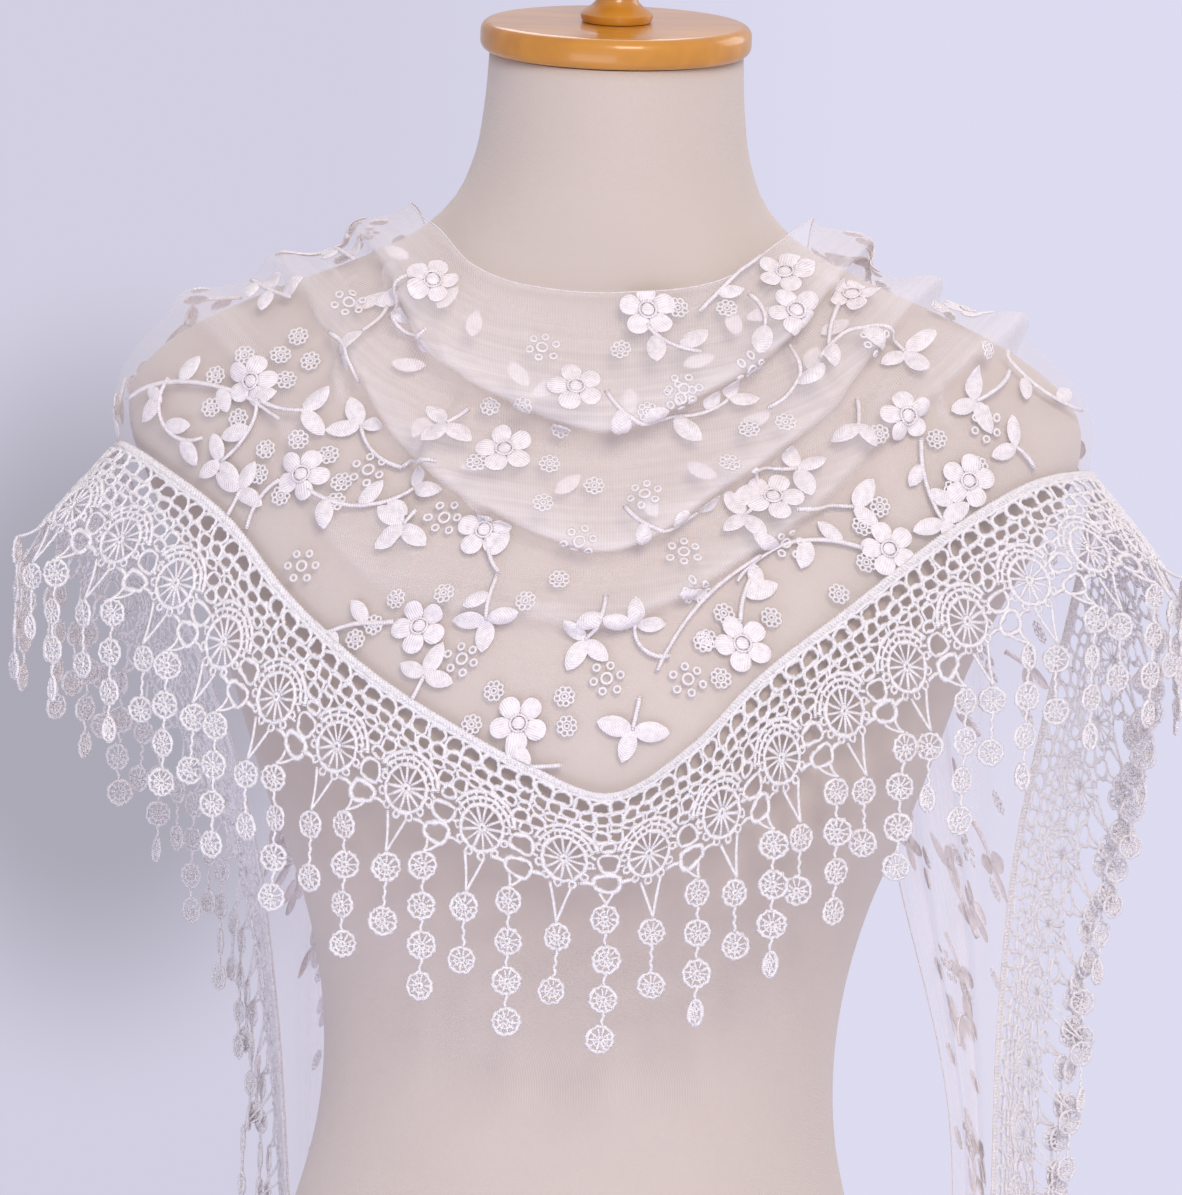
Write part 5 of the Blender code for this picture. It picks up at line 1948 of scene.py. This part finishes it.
@dataclass(frozen=True)
class Studio:
    """The floor, the lights, the surround and the camera."""

    target: Triple = (-0.0021, 0.0, 0.626)
    view: Triple = (-0.0694, 0.9921, -0.1045)
    distance: float = 2.2
    roll_deg: float = 2.2
    metres_per_pixel: float = 0.00043
    image_height: int = 1195
    lamps: tuple[Lamp, ...] = (
        Lamp("key", (0.62, -2.35, 1.95), (0.0, 0.0, 0.62), 1.0, 33.0, (1.0, 0.945, 0.85)),
        Lamp("low fill", (-0.3, -1.1, 0.10), (0.0, 0.0, 0.40), 0.9, 4.9, (0.70, 0.80, 1.0)),
        Lamp("shoulder light", (-0.3, 1.2, 2.2), (0.0, 0.0, 0.75), 1.0, 9.0, (0.98, 0.97, 1.0)),
        Lamp("rim", (1.8, 1.2, 1.6), (0.0, 0.0, 0.65), 1.4, 11.0, (0.96, 0.96, 1.0)),
    )
    # The surround as the camera sees it: painted shade on its left, painted light on its right, and a
    # painted soft shadow of the form.
    wall_shaded_left: Colour = (0.645, 0.625, 0.76, 1)
    wall_lit_right: Colour = (0.725, 0.71, 0.868, 1)
    wall_shadow: Triple = (-0.163, 0.98, -0.124)
    wall_shadow_spread: Triple = (0.060, 0.40, 0.085)
    wall_shadow_colour: Colour = (0.415, 0.40, 0.475, 1)
    glow_left: Colour = (0.55, 0.53, 0.60, 1)
    glow_right: Colour = (0.66, 0.64, 0.72, 1)
    floor_radius: float = 1.5
    floor_points: int = 96
    seen_from: float = 0.05
    seen_to: float = 50.0

    def camera(self) -> Object:
        """Places the camera at the photograph's viewing angle.

        Returns:
            The new object.
        """
        way = Vector(self.view).normalized()
        data = bpy.data.cameras.new("camera")
        data.lens = data.sensor_width * self.distance / (self.metres_per_pixel * self.image_height)
        data.clip_start, data.clip_end = self.seen_from, self.seen_to
        made = link_object("camera", data)
        made.location = Vector(self.target) - way * self.distance
        made.rotation_mode = "QUATERNION"
        roll = Quaternion((0, 0, 1), math.radians(self.roll_deg))
        made.rotation_quaternion = way.to_track_quat("-Z", "Y") @ roll
        bpy.context.scene.camera = made
        bpy.context.scene.view_settings.view_transform = "Standard"
        return made

    def lights(self) -> None:
        """Adds the soft lights."""
        for lamp in self.lamps:
            data = bpy.data.lights.new(lamp.name, "AREA")
            data.shape, data.size, data.energy, data.color = "SQUARE", lamp.size, lamp.power, lamp.colour
            made = link_object(lamp.name, data)
            made.location = lamp.place
            made.rotation_mode = "QUATERNION"
            way = Vector(lamp.aim) - Vector(lamp.place)
            made.rotation_quaternion = way.to_track_quat("-Z", "Y")

    def surround(self) -> None:
        """Adds the pale lavender surround, with painted shade on its left, painted light on its right and a
        painted soft shadow on it where the camera looks.
        """
        world = bpy.data.worlds.new("studio")
        bpy.context.scene.world = world
        world.use_nodes = True
        kit = NodeTree(world.node_tree)
        way = kit.place("Generated")
        x = kit.node("SeparateXYZ", {0: way}).outputs["X"]
        # Painted shade on the left of the seen surround and painted light on its right.
        seen = kit.mix(kit.ramp(x, -0.12, -0.02, 0.0, 1.0), self.wall_shaded_left, self.wall_lit_right)
        glow = kit.mix(kit.ramp(x, -1.0, 1.0, 0.0, 1.0), self.glow_left, self.glow_right)
        # Painted soft shadow of the form on the surround, seen only by the camera.
        aside = kit.vector("SUBTRACT", "Vector", way, self.wall_shadow)
        aside = kit.vector("DIVIDE", "Vector", aside, self.wall_shadow_spread)
        far = kit.vector("LENGTH", "Value", aside)
        shade = kit.ramp(far, 0.35, 1.0, 1.0, 0.0, interpolation_type="SMOOTHSTEP")
        seen = kit.mix(shade, seen, self.wall_shadow_colour)
        direct = kit.node("LightPath").outputs["Is Camera Ray"]
        kit.connect(world.node_tree.nodes["Background"],
                    {"Color": kit.mix(direct, glow, seen), "Strength": 1.0})

    def floor(self, finish: Material) -> Object:
        """Adds the round floor.

        Args:
            finish: its material.

        Returns:
            The new object.
        """
        points = np.column_stack([self.floor_radius * circle(self.floor_points),
                                  np.zeros(self.floor_points)])
        mesh = bpy.data.meshes.new("floor")
        mesh.from_pydata(points.tolist(), [], [tuple(range(self.floor_points))])
        mesh.materials.append(finish)
        made = link_object("floor", mesh)
        return made


def report(pieces: Iterable[Object]) -> None:
    """Logs each piece and how many triangles it has.

    Args:
        pieces: the pieces.
    """
    for piece in pieces:
        triangles = sum(len(polygon.vertices) - 2 for polygon in piece.data.polygons)
        LOG.info("%s: %d triangles", piece.name, triangles)


def main() -> None:
    """Builds the scene."""
    logging.basicConfig(level=logging.INFO, format="%(name)s %(message)s", stream=sys.stdout)
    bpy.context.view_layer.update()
    studio = Studio()
    studio.camera()
    effects = Effects()
    jersey, wood, net = (kind().build(effects) for kind in (JerseyFinish, WoodFinish, NetFinish))
    satin, openwork, guipure = (thread.build(effects) for thread in (SATIN, OPENWORK, GUIPURE))
    shape = FormShape()
    form = DressForm(shape)
    pieces = [form.torso(jersey), *form.neck(wood), *form.stand(wood)]
    drape = Drape(shape)
    veil = Net(drape)
    ground = veil.ground(net)
    trims = [veil.hem(satin), *veil.embroidery(satin, openwork)]
    border = Border(drape)
    for side in Side:
        trims += [border.lace(side, guipure), border.fringe(side, guipure)]
    studio.surround()
    studio.floor(FloorFinish().build(effects))
    studio.lights()
    report([*pieces, ground, *trims])


if __name__ == "__main__":
    main()
